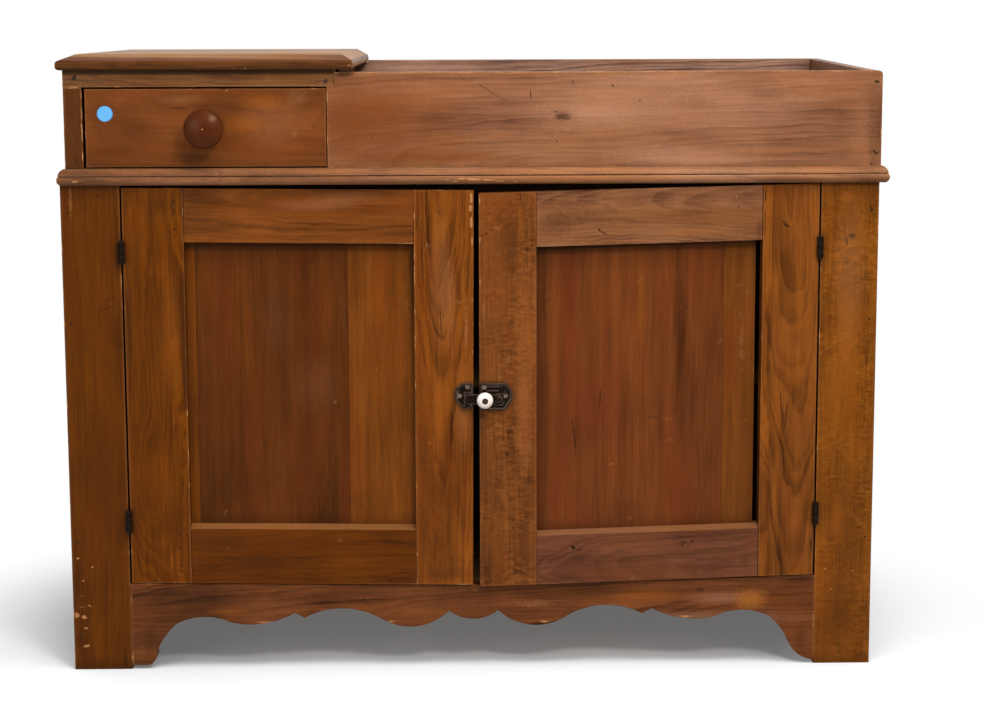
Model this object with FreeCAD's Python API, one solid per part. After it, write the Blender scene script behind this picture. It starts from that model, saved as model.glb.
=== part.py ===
import FreeCAD, Part

import math
import os

# A country dry sink: an open well and a dovetailed drawer over a cupboard with two framed doors.
# X runs to the right, Y to the back and Z up, in millimetres. While the pieces are made, the front of
# the case is y = 0 and the floor is z = 0. The finished model is moved along Y, so that its origin is
# in the middle of its footprint.

Vector = FreeCAD.Vector

# Lower case
CASE_WIDTH = 1153.0
CASE_DEPTH = 508.0
CASE_HEIGHT = 701.5
CASE_OFFSET = -5.0  # the case stands this far off the centre of the box above it
SIDE_THICKNESS = 20.0
SIDE_ARCH_WIDTH = 300.0
SIDE_ARCH_HEIGHT = 66.0
STILE_THICKNESS = 22.0
LEFT_STILE_WIDTH = 83.0
RIGHT_STILE_WIDTH = 81.5
BACK_THICKNESS = 14.0
BACK_BOARD_COUNT = 5
BACK_BOARD_GAP = 1.0
BACK_BOARD_LIFT = 60.0  # from the floor to the lower ends of the back boards
FLOOR_THICKNESS = 20.0
FLOOR_DROP = 5.5  # from the lowest point of the apron's top edge to the floor board
SHELF_THICKNESS = 18.0
SHELF_HEIGHT = 413.0
SHELF_SETBACK = 90.0
CLEAT_WIDTH = 20.0
CLEAT_HEIGHT = 22.0
STOP_WIDTH = 20.0
STOP_HEIGHT = 24.0
STOP_CLEARANCE = 0.4

# Apron. Its top edge and its scallops have both gone a little out of level.
APRON_TOP_LEFT = 127.2
APRON_TOP_MIDDLE = 121.5
APRON_TOP_RIGHT = 132.2
APRON_TILT = 5.0  # rise of the scallops from the left end to the right end
APRON_DROP = 70.5  # height of the drop in the middle, above the floor
# The scallops run outwards from the cusps beside the drop in arcs. Each is given by a point on it and
# its end, as (share of the apron's half width, height above the floor).
APRON_CUSP = (0.0718, 83.0)
APRON_SCALLOPS = [
    ((0.1376, 63.5), (0.2590, 69.0)),
    ((0.3844, 88.5), (0.4957, 75.0)),
    ((0.5109, 79.5), (0.5240, 82.5)),
    ((0.6009, 68.5), (0.7082, 69.5)),
    ((0.7992, 78.5), (0.8700, 68.5)),
    ((0.9064, 48.0), (0.9287, 27.0)),
]
LEFT_TOE_WIDTH = 20.0
RIGHT_TOE_WIDTH = 3.0
TOE_SWEEP = (0.42, 0.4)  # where the toe's last arc passes, as shares of its run and of its height
TOE_LIFT = 5.5  # the toes stop short of the floor

# Well floor and the moulding round its edge
BOX_INSET = 7.0  # how much narrower the box is than the case
WELL_FLOOR_THICKNESS = 23.5
MOULDING_PROJECTION = 11.0
# The moulding's section: a rounded nose, a quirk and a smaller round above it, as edges between
# (share of the projection, share of the height). An edge with three points is an arc.
MOULDING_SECTION = [
    ((0.0, 1.0), (0.0, 0.0)),
    ((0.0, 0.0), (0.545, 0.0)),
    ((0.545, 0.0), (0.87, 0.13), (1.0, 0.32)),
    ((1.0, 0.32), (0.965, 0.43), (0.89, 0.52)),
    ((0.89, 0.52), (0.78, 0.52)),
    ((0.78, 0.52), (0.78, 0.555)),
    ((0.78, 0.555), (0.845, 0.555)),
    ((0.845, 0.555), (0.66, 0.82), (0.11, 1.0)),
    ((0.11, 1.0), (0.0, 1.0)),
]

# Box on the case
WELL_FRONT_HEIGHT = 133.0
WELL_BACK_RISE = 8.0
BOX_THICKNESS = 20.0
WELL_CORNER_RADIUS = 6.0
DRAWER_BOX_HEIGHT = 137.0
PARTITION_THICKNESS = 16.0
DRAWER_OPENING_WIDTH = 341.0
DRAWER_STILE_WIDTH = 26.0
RAIL_HEIGHT = 23.5
RAIL_LAP = 12.0  # how far the rail is let into the well front
RAIL_CORNER_RADIUS = 5.0
TOP_THICKNESS = 22.0
TOP_OVERHANG = 8.5
TOP_RIGHT_OVERHANG = 21.0
TOP_BEVEL_WIDTH = 25.0
TOP_RIGHT_BEVEL_WIDTH = 18.0
TOP_NOSE_HEIGHT = 12.0
TOP_NOSE_RADIUS = 5.0
TOP_END_GAP = 0.3

# Drawer
DRAWER_SETBACK = 0.8
DRAWER_GAP_LEFT = 3.5
DRAWER_GAP_RIGHT = 1.2
DRAWER_GAP_TOP = 2.5
DRAWER_GAP_BOTTOM = 1.5
DRAWER_RUNNING_GAP = 0.3
DRAWER_BACK_GAP = 0.5
DRAWER_FRONT_THICKNESS = 20.0
DRAWER_SIDE_THICKNESS = 12.0
DRAWER_SIDE_DROP = 3.7  # from the top edge of the front to the top edges of the sides
DRAWER_BACK_THICKNESS = 12.0
DRAWER_BACK_DROP = 5.0
DRAWER_BOTTOM_THICKNESS = 8.0
DRAWER_BOTTOM_LIFT = 5.0
DRAWER_GROOVE_DEPTH = 5.0
TAIL_LAP = 6.0  # wood left in front of the half-blind tails
TAIL_COUNT = 3
TAIL_ROOT_SHARE = 0.5  # root width of a tail, as a share of the pitch of the tails
TAIL_SLOPE = 0.16
GUIDE_HEIGHT = 22.0
KICKER_WIDTH = 20.0
KICKER_GAP = 1.0
KNOB_RADIUS = 27.5
KNOB_PROJECTION = 40.0
KNOB_TENON_RADIUS = 8.0
# The knob's side, from its seat outwards: collar, waisted neck, flare and rounded rim, as edges
# between (share of the radius, share of the projection). The last point starts the domed face.
KNOB_TURNING = [
    ((0.49, 0.0), (0.47, 0.075)),
    ((0.47, 0.075), (0.365, 0.24), (0.44, 0.4)),
    ((0.44, 0.4), (0.84, 0.5), (1.0, 0.68)),
    ((1.0, 0.68), (0.98, 0.77), (0.88, 0.84)),
]
DOT_RADIUS = 11.0
DOT_THICKNESS = 0.3
DOT_FROM_EDGE = 28.0
DOT_FROM_TOP = 34.5

# Doors. A door is drawn with u, the distance from its hinged edge, and z above its lower corner there.
DOOR_THICKNESS = 24.0
HINGE_GAP = 2.6
MEETING_OFFSET = 5.4  # from the middle of the doorway to the middle of the gap between the doors
MEETING_GAP = 8.8
DOOR_LIFT = 1.0  # clearance over the apron at the hinged edge
LEFT_DOOR_TOP_GAP = 3.3
LEFT_DOOR_SAG = 5.2  # drop of the free edge, from worn joints
LEFT_DOOR_LEAN = 3.6  # out of plumb of the planed free edge, from top to bottom
LEFT_DOOR_AJAR = 0.58
LEFT_HINGE_STILE = 85.9
LEFT_EDGE_STRIP = 22.0
LEFT_LOCK_STILE = 82.8
LEFT_TOP_RAIL = 76.5
LEFT_BOTTOM_RAIL = 80.5
LEFT_PANEL_JOINTS = [0.04, 0.707]  # shares of the way from the hinge stile to the lock stile
LEFT_PANEL_SHRINKAGE = 0.0
LEFT_HINGE_INSETS = (90.8, 91.2)  # from the door's lower and upper edges
RIGHT_DOOR_TOP_GAP = 1.3
RIGHT_DOOR_SAG = 11.1
RIGHT_DOOR_LEAN = 0.0
RIGHT_DOOR_AJAR = 1.43
RIGHT_HINGE_STILE = 79.8
RIGHT_EDGE_STRIP = 13.6
RIGHT_LOCK_STILE = 81.0
RIGHT_TOP_RAIL = 78.0
RIGHT_BOTTOM_RAIL = 71.5
RIGHT_PANEL_JOINTS = [0.164]
RIGHT_PANEL_SHRINKAGE = 7.3  # width of the gap left beside the panel
RIGHT_HINGE_INSETS = (91.3, 90.7)
PANEL_RECESS = 15.0
PANEL_THICKNESS = 6.0
PANEL_GROOVE_DEPTH = 8.0
RAIL_WEATHERING = 5.0  # rise of the bottom rail's top edge from its front to the panel
TENON_LENGTH = 45.0
TENON_THICKNESS = 8.0
TENON_SHOULDER = 12.0

# Hinges
BARREL_RADIUS = 4.3
BARREL_PROUD = 0.2
HINGE_PIN_RADIUS = 1.8
HINGE_PIN_CLEARANCE = 0.05
HINGE_LENGTH = 32.0
KNUCKLE_GAP = 0.3
LEAF_THICKNESS = 1.1
LEAF_WIDTH = 19.0
HINGE_SCREW_SPACING = 18.0
HINGE_SCREW_DEPTH = 11.0

# Latch. Its pieces are drawn with a, the distance from the door's free edge, and h above its middle.
LATCH_HEIGHT = 400.0
LATCH_BAR_DROP = 3.0
LATCH_PLATE_OUTLINE = [(0.0, -19.3), (36.0, -19.3), (46.0, -4.0), (46.0, 8.0), (37.0, 19.3), (0.0, 19.3)]
LATCH_PLATE_THICKNESS = 3.2
LATCH_RIM_WIDTH = 2.4
LATCH_RIM_HEIGHT = 1.0
LATCH_PIVOT_RADIUS = 2.2
LATCH_PIVOT_HEAD_RADIUS = 3.6
LATCH_PIVOT_HEAD_HEIGHT = 2.0
LATCH_PIVOT_DEPTH = 14.0  # how far it goes into the door
LATCH_BAR_THICKNESS = 4.0
LATCH_BAR_WIDTHS = [(-21.0, 6.0), (-3.0, 7.5), (13.0, 7.5), (28.0, 4.6)]  # (a, half height), to the pivot
LATCH_CLEARANCE = 0.3
LATCH_KNOB_PLACE = 7.0
LATCH_KNOB_RADIUS = 11.6
LATCH_KNOB_LENGTH = 17.0
# The china knob's side, from the bar outwards, in the same shares as the drawer's knob
LATCH_KNOB_TURNING = [
    ((0.43, 0.0), (0.43, 0.235)),
    ((0.43, 0.235), (0.86, 0.33), (1.0, 0.58)),
    ((1.0, 0.58), (0.78, 0.9), (0.465, 1.0)),
]
LATCH_STUD_RADIUS = 2.4
LATCH_STUD_HEAD_RADIUS = 4.4
LATCH_STUD_HEAD_HEIGHT = 1.1
LATCH_STUD_SINK = 1.5
KEEPER_OUTLINE = [(0.5, -18.3), (14.0, -18.3), (22.0, -12.0), (26.0, -4.0), (26.0, 6.0), (24.0, 11.0),
                  (16.0, 18.3), (0.5, 18.3)]
KEEPER_THICKNESS = 3.0
KEEPER_NOSE = [(4.0, -15.0), (13.0, 5.5)]

# Screws and nails
SCREW_HEAD_RADIUS = 3.1
SCREW_HEAD_DEPTH = 1.6
SCREW_SHANK_RADIUS = 1.6
SCREW_SLOT_WIDTH = 0.9
SCREW_SLOT_DEPTH = 0.7
HINGE_SCREW_LENGTH = 16.0
LATCH_SCREW_LENGTH = 17.0
RAIL_SCREW_HEAD_RADIUS = 3.2
RAIL_SCREW_LENGTH = 34.0
LATCH_SCREW_PLACES = [(37.0, 0.8), (6.5, 13.2)]
KEEPER_SCREW_PLACES = [(8.0, 12.8), (19.5, 0.0)]
RAIL_SCREWS = [(16.5, 12.5), (-13.4, 7.2)]  # (from an end of the rail, above its lower edge)
NAIL_RADIUS = 1.5
NAIL_LENGTH = 38.0
DOOR_NAIL_LENGTH = 18.0
# Heights of nails are above the lower edge of what they hold, or below its upper edge if negative.
# A door's nails are given as (share of the way from the hinge stile to the lock stile, height).
LEFT_DOOR_NAILS = [(-0.040, -18.0), (-0.040, -57.5), (-0.046, 72.0), (-0.046, 52.5), (-0.046, 27.0),
                   (-0.046, 18.0)]
RIGHT_DOOR_NAILS = [(-0.097, -58.0), (0.344, 50.0), (0.835, 51.0)]
WELL_NAIL_HEIGHTS = [20.0, -15.0]
STILE_NAIL_HEIGHTS = [46.5, 188.0, -195.5, -38.5]
END_NAIL_INSET = 10.0
BACK_NAIL_SHARES = (0.2, 0.8)  # of the width of each back board

# Places that follow from the sizes above
case_left = CASE_OFFSET - CASE_WIDTH / 2
case_right = CASE_OFFSET + CASE_WIDTH / 2
inner_left = case_left + SIDE_THICKNESS
inner_right = case_right - SIDE_THICKNESS
doorway_left = case_left + LEFT_STILE_WIDTH
doorway_right = case_right - RIGHT_STILE_WIDTH
doorway_middle = (doorway_left + doorway_right) / 2
meeting = doorway_middle + MEETING_OFFSET
back_face = CASE_DEPTH - BACK_THICKNESS
case_floor_top = min(APRON_TOP_LEFT, APRON_TOP_MIDDLE, APRON_TOP_RIGHT) - FLOOR_DROP
box_width = CASE_WIDTH - BOX_INSET
box_left = -box_width / 2
box_right = box_width / 2
well_bottom = CASE_HEIGHT + WELL_FLOOR_THICKNESS
well_top = well_bottom + WELL_FRONT_HEIGHT
drawer_box_top = well_bottom + DRAWER_BOX_HEIGHT
well_back = CASE_DEPTH - BOX_THICKNESS
opening_left = box_left + DRAWER_STILE_WIDTH
opening_right = opening_left + DRAWER_OPENING_WIDTH
partition_right = opening_right + PARTITION_THICKNESS
rail_bottom = drawer_box_top - RAIL_HEIGHT
drawer_left = opening_left + DRAWER_GAP_LEFT
drawer_right = opening_right - DRAWER_GAP_RIGHT
drawer_front_bottom = well_bottom + DRAWER_GAP_BOTTOM
drawer_front_top = rail_bottom - DRAWER_GAP_TOP
drawer_side_bottom = well_bottom + DRAWER_RUNNING_GAP
drawer_side_top = drawer_front_top - DRAWER_SIDE_DROP
top_right = partition_right + TOP_RIGHT_OVERHANG
barrel_y = -(BARREL_RADIUS + BARREL_PROUD)


def board(x0, x1, y0, y1, z0, z1):
    """A squared board between three pairs of planes."""
    return Part.makeBox(x1 - x0, y1 - y0, z1 - z0, Vector(x0, y0, z0))


def prism(points, reach):
    """A flat outline pushed along a vector."""
    return Part.Face(Part.makePolygon(points + points[:1])).extrude(reach)


def prism_x(points, x0, x1):
    """An outline of (y, z) points between two planes across X."""
    return prism([Vector(x0, y, z) for y, z in points], Vector(x1 - x0, 0, 0))


def prism_y(points, y0, y1):
    """An outline of (x, z) points between two planes across Y."""
    return prism([Vector(x, y0, z) for x, z in points], Vector(0, y1 - y0, 0))


def prism_z(points, z0, z1):
    """An outline of (x, y) points between two planes across Z."""
    return prism([Vector(x, y, z0) for x, y in points], Vector(0, 0, z1 - z0))


def joined(shapes):
    """Touching solids made into one piece."""
    return shapes[0].multiFuse(shapes[1:]).removeSplitter()


def arc(start, middle, end):
    return Part.Arc(start, middle, end).toShape()


def line(start, end):
    return Part.LineSegment(start, end).toShape()


def turned(base, axis, edges):
    """A turned piece. Edges run from the axis and back to it, as (radius, distance along the axis)."""
    side = axis.cross(Vector(0, 0, 1)) if abs(axis.z) < 0.5 else Vector(1, 0, 0)
    side.normalize()

    def place(point):
        return base + side * point[0] + axis * point[1]

    shapes = [arc(*map(place, edge)) if len(edge) == 3 else line(*map(place, edge)) for edge in edges]
    shapes.append(line(place(edges[-1][-1]), place(edges[0][0])))
    return Part.Face(Part.Wire(shapes)).revolve(base, axis, 360)


def dome(start, end):
    """An arc of a turned face that ends on the axis and has its centre there."""
    height = end[1] - start[1]
    radius = (start[0] ** 2 + height ** 2) / (2 * height)
    centre = end[1] - radius
    angle = math.atan2(start[0], start[1] - centre) / 2
    return start, (radius * math.sin(angle), centre + radius * math.cos(angle)), end


def scaled(edges, width, height):
    """Edges given in shares, at their real size."""
    return [tuple((point[0] * width, point[1] * height) for point in edge) for edge in edges]


def measured(offset, low, high):
    """A place from the low end, or from the high end if the offset is negative."""
    return low + offset if offset >= 0 else high + offset


def corners(*points):
    """Straight edges through the points, in turn."""
    return list(zip(points, points[1:]))


def inset(outline, margin):
    """A convex outline, listed anticlockwise, moved inwards by a margin."""
    moved = []
    for before, point, after in zip(outline[-1:] + outline, outline, outline[1:] + outline[:1]):
        first = Vector(point[0] - before[0], point[1] - before[1], 0).normalize()
        second = Vector(after[0] - point[0], after[1] - point[1], 0).normalize()
        inward = Vector(-first.y - second.y, first.x + second.x, 0)
        inward = inward * (margin / (1 + first.dot(second)))
        moved.append((point[0] + inward.x, point[1] + inward.y))
    return moved


def screw(point, axis, length, head_radius=SCREW_HEAD_RADIUS):
    """A slotted countersunk screw with its head's face at a point. The axis points into the wood."""
    shank = [
        (0, 0), (head_radius, 0), (SCREW_SHANK_RADIUS, SCREW_HEAD_DEPTH),
        (SCREW_SHANK_RADIUS, length - SCREW_SHANK_RADIUS * 2), (0, length),
    ]
    return turned(point, axis, corners(*shank))


def slotted(solid, point, axis):
    """The screw with its slot. The slot runs up and down, across the screw's axis."""
    across = axis.cross(Vector(0, 0, 1)).normalize()
    start = point - across * (SCREW_SLOT_WIDTH / 2) - Vector(0, 0, RAIL_SCREW_HEAD_RADIUS)
    outline = [start, start + across * SCREW_SLOT_WIDTH]
    outline += [outline[1] + axis * SCREW_SLOT_DEPTH, outline[0] + axis * SCREW_SLOT_DEPTH]
    return solid.cut(prism(outline, Vector(0, 0, RAIL_SCREW_HEAD_RADIUS * 2)))


def nail(point, axis, length):
    """A round nail with its head set flush at a point."""
    return Part.makeCylinder(NAIL_RADIUS, length, point, axis)


nodes = {}


def drive(name, fasteners, held, solids=None):
    """Adds fasteners as one node, and makes their holes in the pieces that they hold."""
    for piece in held:
        nodes[piece] = Part.makeCompound([solid.cut(fasteners) for solid in nodes[piece].Solids])
    nodes[name] = Part.makeCompound(solids or fasteners)


def side_board(x0):
    """An end of the lower case, with an arch between its feet."""
    middle = (STILE_THICKNESS + CASE_DEPTH) / 2
    plain = board(x0, x0 + SIDE_THICKNESS, STILE_THICKNESS, CASE_DEPTH, 0, CASE_HEIGHT)
    radius = (SIDE_ARCH_WIDTH ** 2 / 4 + SIDE_ARCH_HEIGHT ** 2) / (2 * SIDE_ARCH_HEIGHT)
    centre = Vector(x0, middle, SIDE_ARCH_HEIGHT - radius)
    return plain.cut(Part.makeCylinder(radius, SIDE_THICKNESS, centre, Vector(1, 0, 0)))


def apron():
    """The board between the stiles, scalloped along its lower edge, with a foot at each end."""
    half = (doorway_right - doorway_left) / 2

    def place(side, share, height):
        return Vector(doorway_middle + side * share * half, 0, height + APRON_TILT * side * share / 2)

    def scallops(side, toe_width):
        toe = 1 - toe_width / half
        last = APRON_SCALLOPS[-1][-1]
        sweep = (last[0] + TOE_SWEEP[0] * (toe - last[0]), last[1] * TOE_SWEEP[1])
        start = place(side, *APRON_CUSP)
        edges = []
        for middle, end in APRON_SCALLOPS:
            edges.append(arc(start, place(side, *middle), place(side, *end)))
            start = place(side, *end)
        tip = Vector(doorway_middle + side * toe * half, 0, TOE_LIFT)
        return edges + [arc(start, place(side, *sweep), tip)], tip

    left_edges, left_toe = scallops(-1, LEFT_TOE_WIDTH)
    right_edges, right_toe = scallops(1, RIGHT_TOE_WIDTH)
    drop = arc(place(-1, *APRON_CUSP), place(1, 0, APRON_DROP), place(1, *APRON_CUSP))
    outline = [
        left_toe,
        Vector(doorway_left, 0, TOE_LIFT),
        Vector(doorway_left, 0, APRON_TOP_LEFT),
        Vector(meeting, 0, APRON_TOP_MIDDLE),
        Vector(doorway_right, 0, APRON_TOP_RIGHT),
        Vector(doorway_right, 0, TOE_LIFT),
        right_toe,
    ]
    straight = [line(*pair) for pair in corners(*outline)]
    wire = Part.Wire(Part.__sortEdges__(left_edges + [drop] + right_edges + straight))
    return Part.Face(wire).extrude(Vector(0, STILE_THICKNESS, 0))


def back_boards():
    """Upright boards side by side, between the ends of the case."""
    pitch = (inner_right - inner_left + BACK_BOARD_GAP) / BACK_BOARD_COUNT
    boards = []
    for i in range(BACK_BOARD_COUNT):
        x0 = inner_left + i * pitch
        x1 = x0 + pitch - BACK_BOARD_GAP
        boards.append(board(x0, x1, back_face, CASE_DEPTH, BACK_BOARD_LIFT, CASE_HEIGHT))
    return boards


def cleats():
    """Strips along both ends, under the case floor and under the shelf."""
    strips = []
    for top in (case_floor_top - FLOOR_THICKNESS, SHELF_HEIGHT - SHELF_THICKNESS):
        for x0 in (inner_left, inner_right - CLEAT_WIDTH):
            strips.append(board(x0, x0 + CLEAT_WIDTH, SHELF_SETBACK, back_face, top - CLEAT_HEIGHT, top))
    return strips


def moulding(place, reach):
    """A length of the waist moulding. Place turns (projection, height) into a point."""
    shapes = []
    for edge in scaled(MOULDING_SECTION, MOULDING_PROJECTION, WELL_FLOOR_THICKNESS):
        points = [place(*point) for point in edge]
        shapes.append(arc(*points) if len(points) == 3 else line(*points))
    return Part.Face(Part.Wire(shapes)).extrude(reach)


def waist_mouldings():
    """The front length and the two returns, mitred at the front corners."""
    out = MOULDING_PROJECTION * 2
    back = CASE_DEPTH
    front = moulding(lambda p, z: Vector(box_left - out, -p, CASE_HEIGHT + z), Vector(box_width + 2 * out, 0, 0))
    left = moulding(lambda p, z: Vector(box_left - p, -out, CASE_HEIGHT + z), Vector(0, back + out, 0))
    right = moulding(lambda p, z: Vector(box_right + p, -out, CASE_HEIGHT + z), Vector(0, back + out, 0))
    levels = (CASE_HEIGHT, well_bottom)
    front_room = [(box_left, 0), (box_left - out, -out), (box_right + out, -out), (box_right, 0)]
    left_room = [(box_left, 0), (box_left, back), (box_left - out, back), (box_left - out, -out)]
    right_room = [(box_right, 0), (box_right + out, -out), (box_right + out, back), (box_right, back)]
    return [
        length.common(prism_z(room, *levels))
        for length, room in ((front, front_room), (left, left_room), (right, right_room))
    ]


def top_board():
    """The board over the drawer, bevelled to a rounded nose at its front and both ends."""
    x0, x1, y0 = box_left - TOP_OVERHANG, top_right, -TOP_OVERHANG
    z0, z1 = drawer_box_top, drawer_box_top + TOP_THICKNESS
    nose = z0 + TOP_NOSE_HEIGHT
    shape = board(x0, x1, y0, CASE_DEPTH, z0, z1)
    shape = shape.cut(prism_x([(y0, nose), (y0 + TOP_BEVEL_WIDTH, z1), (y0, z1)], x0, x1))
    for edge, inward in ((x0, TOP_BEVEL_WIDTH), (x1, -TOP_RIGHT_BEVEL_WIDTH)):
        shape = shape.cut(prism_y([(edge, nose), (edge + inward, z1), (edge, z1)], y0, CASE_DEPTH))
    radius = min(TOP_NOSE_RADIUS, TOP_NOSE_HEIGHT * 0.42)
    rounded = []
    for edge in shape.Edges:
        middle = edge.CenterOfMass
        level = abs(middle.z - z0) < 0.01 or abs(middle.z - nose) < 0.01
        outer = abs(middle.y - y0) < 0.01 or abs(middle.x - x0) < 0.01 or abs(middle.x - x1) < 0.01
        if level and outer and abs(edge.Vertexes[0].Z - edge.Vertexes[-1].Z) < 0.01:
            rounded.append(edge)
    return shape.makeFillet(radius, rounded)


def outer_corner(shape):
    """The edge that runs back along the top of the box's right end."""
    return [edge for edge in shape.Edges if abs(edge.CenterOfMass.x - box_right) < 0.01
            and min(vertex.Z for vertex in edge.Vertexes) > well_top - 0.01 and edge.BoundBox.YLength > 1]


def upper_box():
    """The boards round the well and the drawer."""
    y = BOX_THICKNESS
    notch_left = opening_right + RAIL_LAP
    rail = board(box_left, notch_left, 0, y, rail_bottom, drawer_box_top)
    corner = [e for e in rail.Edges if abs(e.CenterOfMass.x - notch_left) < 0.01
              and abs(e.CenterOfMass.z - rail_bottom) < 0.01]
    rail = rail.makeFillet(RAIL_CORNER_RADIUS, corner)
    front = board(opening_right, box_right, 0, y, well_bottom, well_top)
    front = front.makeFillet(WELL_CORNER_RADIUS, outer_corner(front))
    slope = [(y, well_bottom), (CASE_DEPTH, well_bottom), (CASE_DEPTH, well_top + WELL_BACK_RISE), (y, well_top)]
    inner = box_left + BOX_THICKNESS
    under_top = top_right + TOP_END_GAP
    back = joined([
        board(inner, under_top, well_back, CASE_DEPTH, well_bottom, drawer_box_top),
        board(under_top, box_right - y, well_back, CASE_DEPTH, well_bottom, well_top + WELL_BACK_RISE),
    ])
    nodes["drawer_rail"] = rail
    nodes["well_front_board"] = front.cut(rail)
    side = prism_x(slope, box_right - BOX_THICKNESS, box_right)
    nodes["well_right_side"] = side.makeFillet(WELL_CORNER_RADIUS, outer_corner(side))
    nodes["drawer_end_board"] = board(box_left, inner, y, CASE_DEPTH, well_bottom, drawer_box_top)
    nodes["well_back_board"] = back
    nodes["drawer_partition"] = board(opening_right, partition_right, y, well_back, well_bottom, drawer_box_top)
    nodes["drawer_stile"] = board(box_left, opening_left, 0, y, well_bottom, rail_bottom)


def tails(x0, y_root, reach, z0, z1, mouth):
    """Dovetails on the end of a drawer side, from y_root along reach, in the height between z0 and z1."""
    pitch = (z1 - z0) / TAIL_COUNT
    root = pitch * TAIL_ROOT_SHARE / 2
    end = root + abs(reach) * TAIL_SLOPE
    shapes = []
    for i in range(TAIL_COUNT):
        z = z0 + (i + 0.5) * pitch
        outline = [(y_root, z - root), (y_root + reach, z - end), (y_root + reach, z + end), (y_root, z + root)]
        shapes.append(prism_x(outline, x0, x0 + mouth))
    return shapes


def drawer():
    """A dovetailed drawer with a turned knob. It slides on the well floor."""
    y0 = DRAWER_SETBACK
    y1 = y0 + DRAWER_FRONT_THICKNESS
    y3 = well_back - DRAWER_BACK_GAP
    y2 = y3 - DRAWER_BACK_THICKNESS
    z0 = drawer_side_bottom
    z1 = drawer_side_top
    thick = DRAWER_SIDE_THICKNESS
    bottom_low = z0 + DRAWER_BOTTOM_LIFT
    bottom_high = bottom_low + DRAWER_BOTTOM_THICKNESS
    groove = DRAWER_GROOVE_DEPTH
    bottom = board(drawer_left + thick - groove, drawer_right - thick + groove, y1 - groove, y3,
                   bottom_low, bottom_high)
    front = board(drawer_left, drawer_right, y0, y1, drawer_front_bottom, drawer_front_top)
    back = board(drawer_left, drawer_right, y2, y3, bottom_high, z1 - DRAWER_BACK_DROP)
    lap = DRAWER_FRONT_THICKNESS - TAIL_LAP
    for name, x0 in (("drawer_left_side", drawer_left), ("drawer_right_side", drawer_right - thick)):
        side = board(x0, x0 + thick, y1, y2, z0, z1)
        front_tails = tails(x0, y1, -lap, bottom_high, z1, thick)
        back_tails = tails(x0, y2, DRAWER_BACK_THICKNESS, bottom_high, z1 - DRAWER_BACK_DROP, thick)
        side = joined([side] + front_tails + back_tails)
        front = front.cut(side)
        back = back.cut(side)
        nodes[name] = side.cut(bottom)
    middle = Vector((drawer_left + drawer_right) / 2, y0, (drawer_front_bottom + drawer_front_top) / 2)
    reach = KNOB_PROJECTION + y0
    sides = scaled(KNOB_TURNING, KNOB_RADIUS, reach)
    tenon = corners((0, -DRAWER_FRONT_THICKNESS), (KNOB_TENON_RADIUS, -DRAWER_FRONT_THICKNESS),
                    (KNOB_TENON_RADIUS, 0), sides[0][0])
    knob = turned(middle, Vector(0, -1, 0), tenon + sides + [dome(sides[-1][-1], (0, reach))])
    nodes["drawer_front"] = front.cut(bottom).cut(knob)
    nodes["drawer_back"] = back
    nodes["drawer_bottom"] = bottom
    nodes["drawer_knob"] = knob
    dot_place = Vector(drawer_left + DOT_FROM_EDGE, y0, drawer_front_top - DOT_FROM_TOP)
    nodes["paper_dot"] = Part.makeCylinder(DOT_RADIUS, DOT_THICKNESS, dot_place, Vector(0, -1, 0))


def drawer_guides():
    """A strip that keeps the drawer square, and two over its sides that keep it level."""
    inner = box_left + BOX_THICKNESS
    guide = board(inner, drawer_left - DRAWER_BACK_GAP, BOX_THICKNESS, well_back,
                  well_bottom, well_bottom + GUIDE_HEIGHT)
    low = drawer_side_top + KICKER_GAP
    strips = [guide]
    for x0 in (inner, opening_right - KICKER_WIDTH):
        strips.append(board(x0, x0 + KICKER_WIDTH, DRAWER_SETBACK + DRAWER_FRONT_THICKNESS + KICKER_GAP,
                            well_back, low, drawer_box_top))
    return strips


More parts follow.
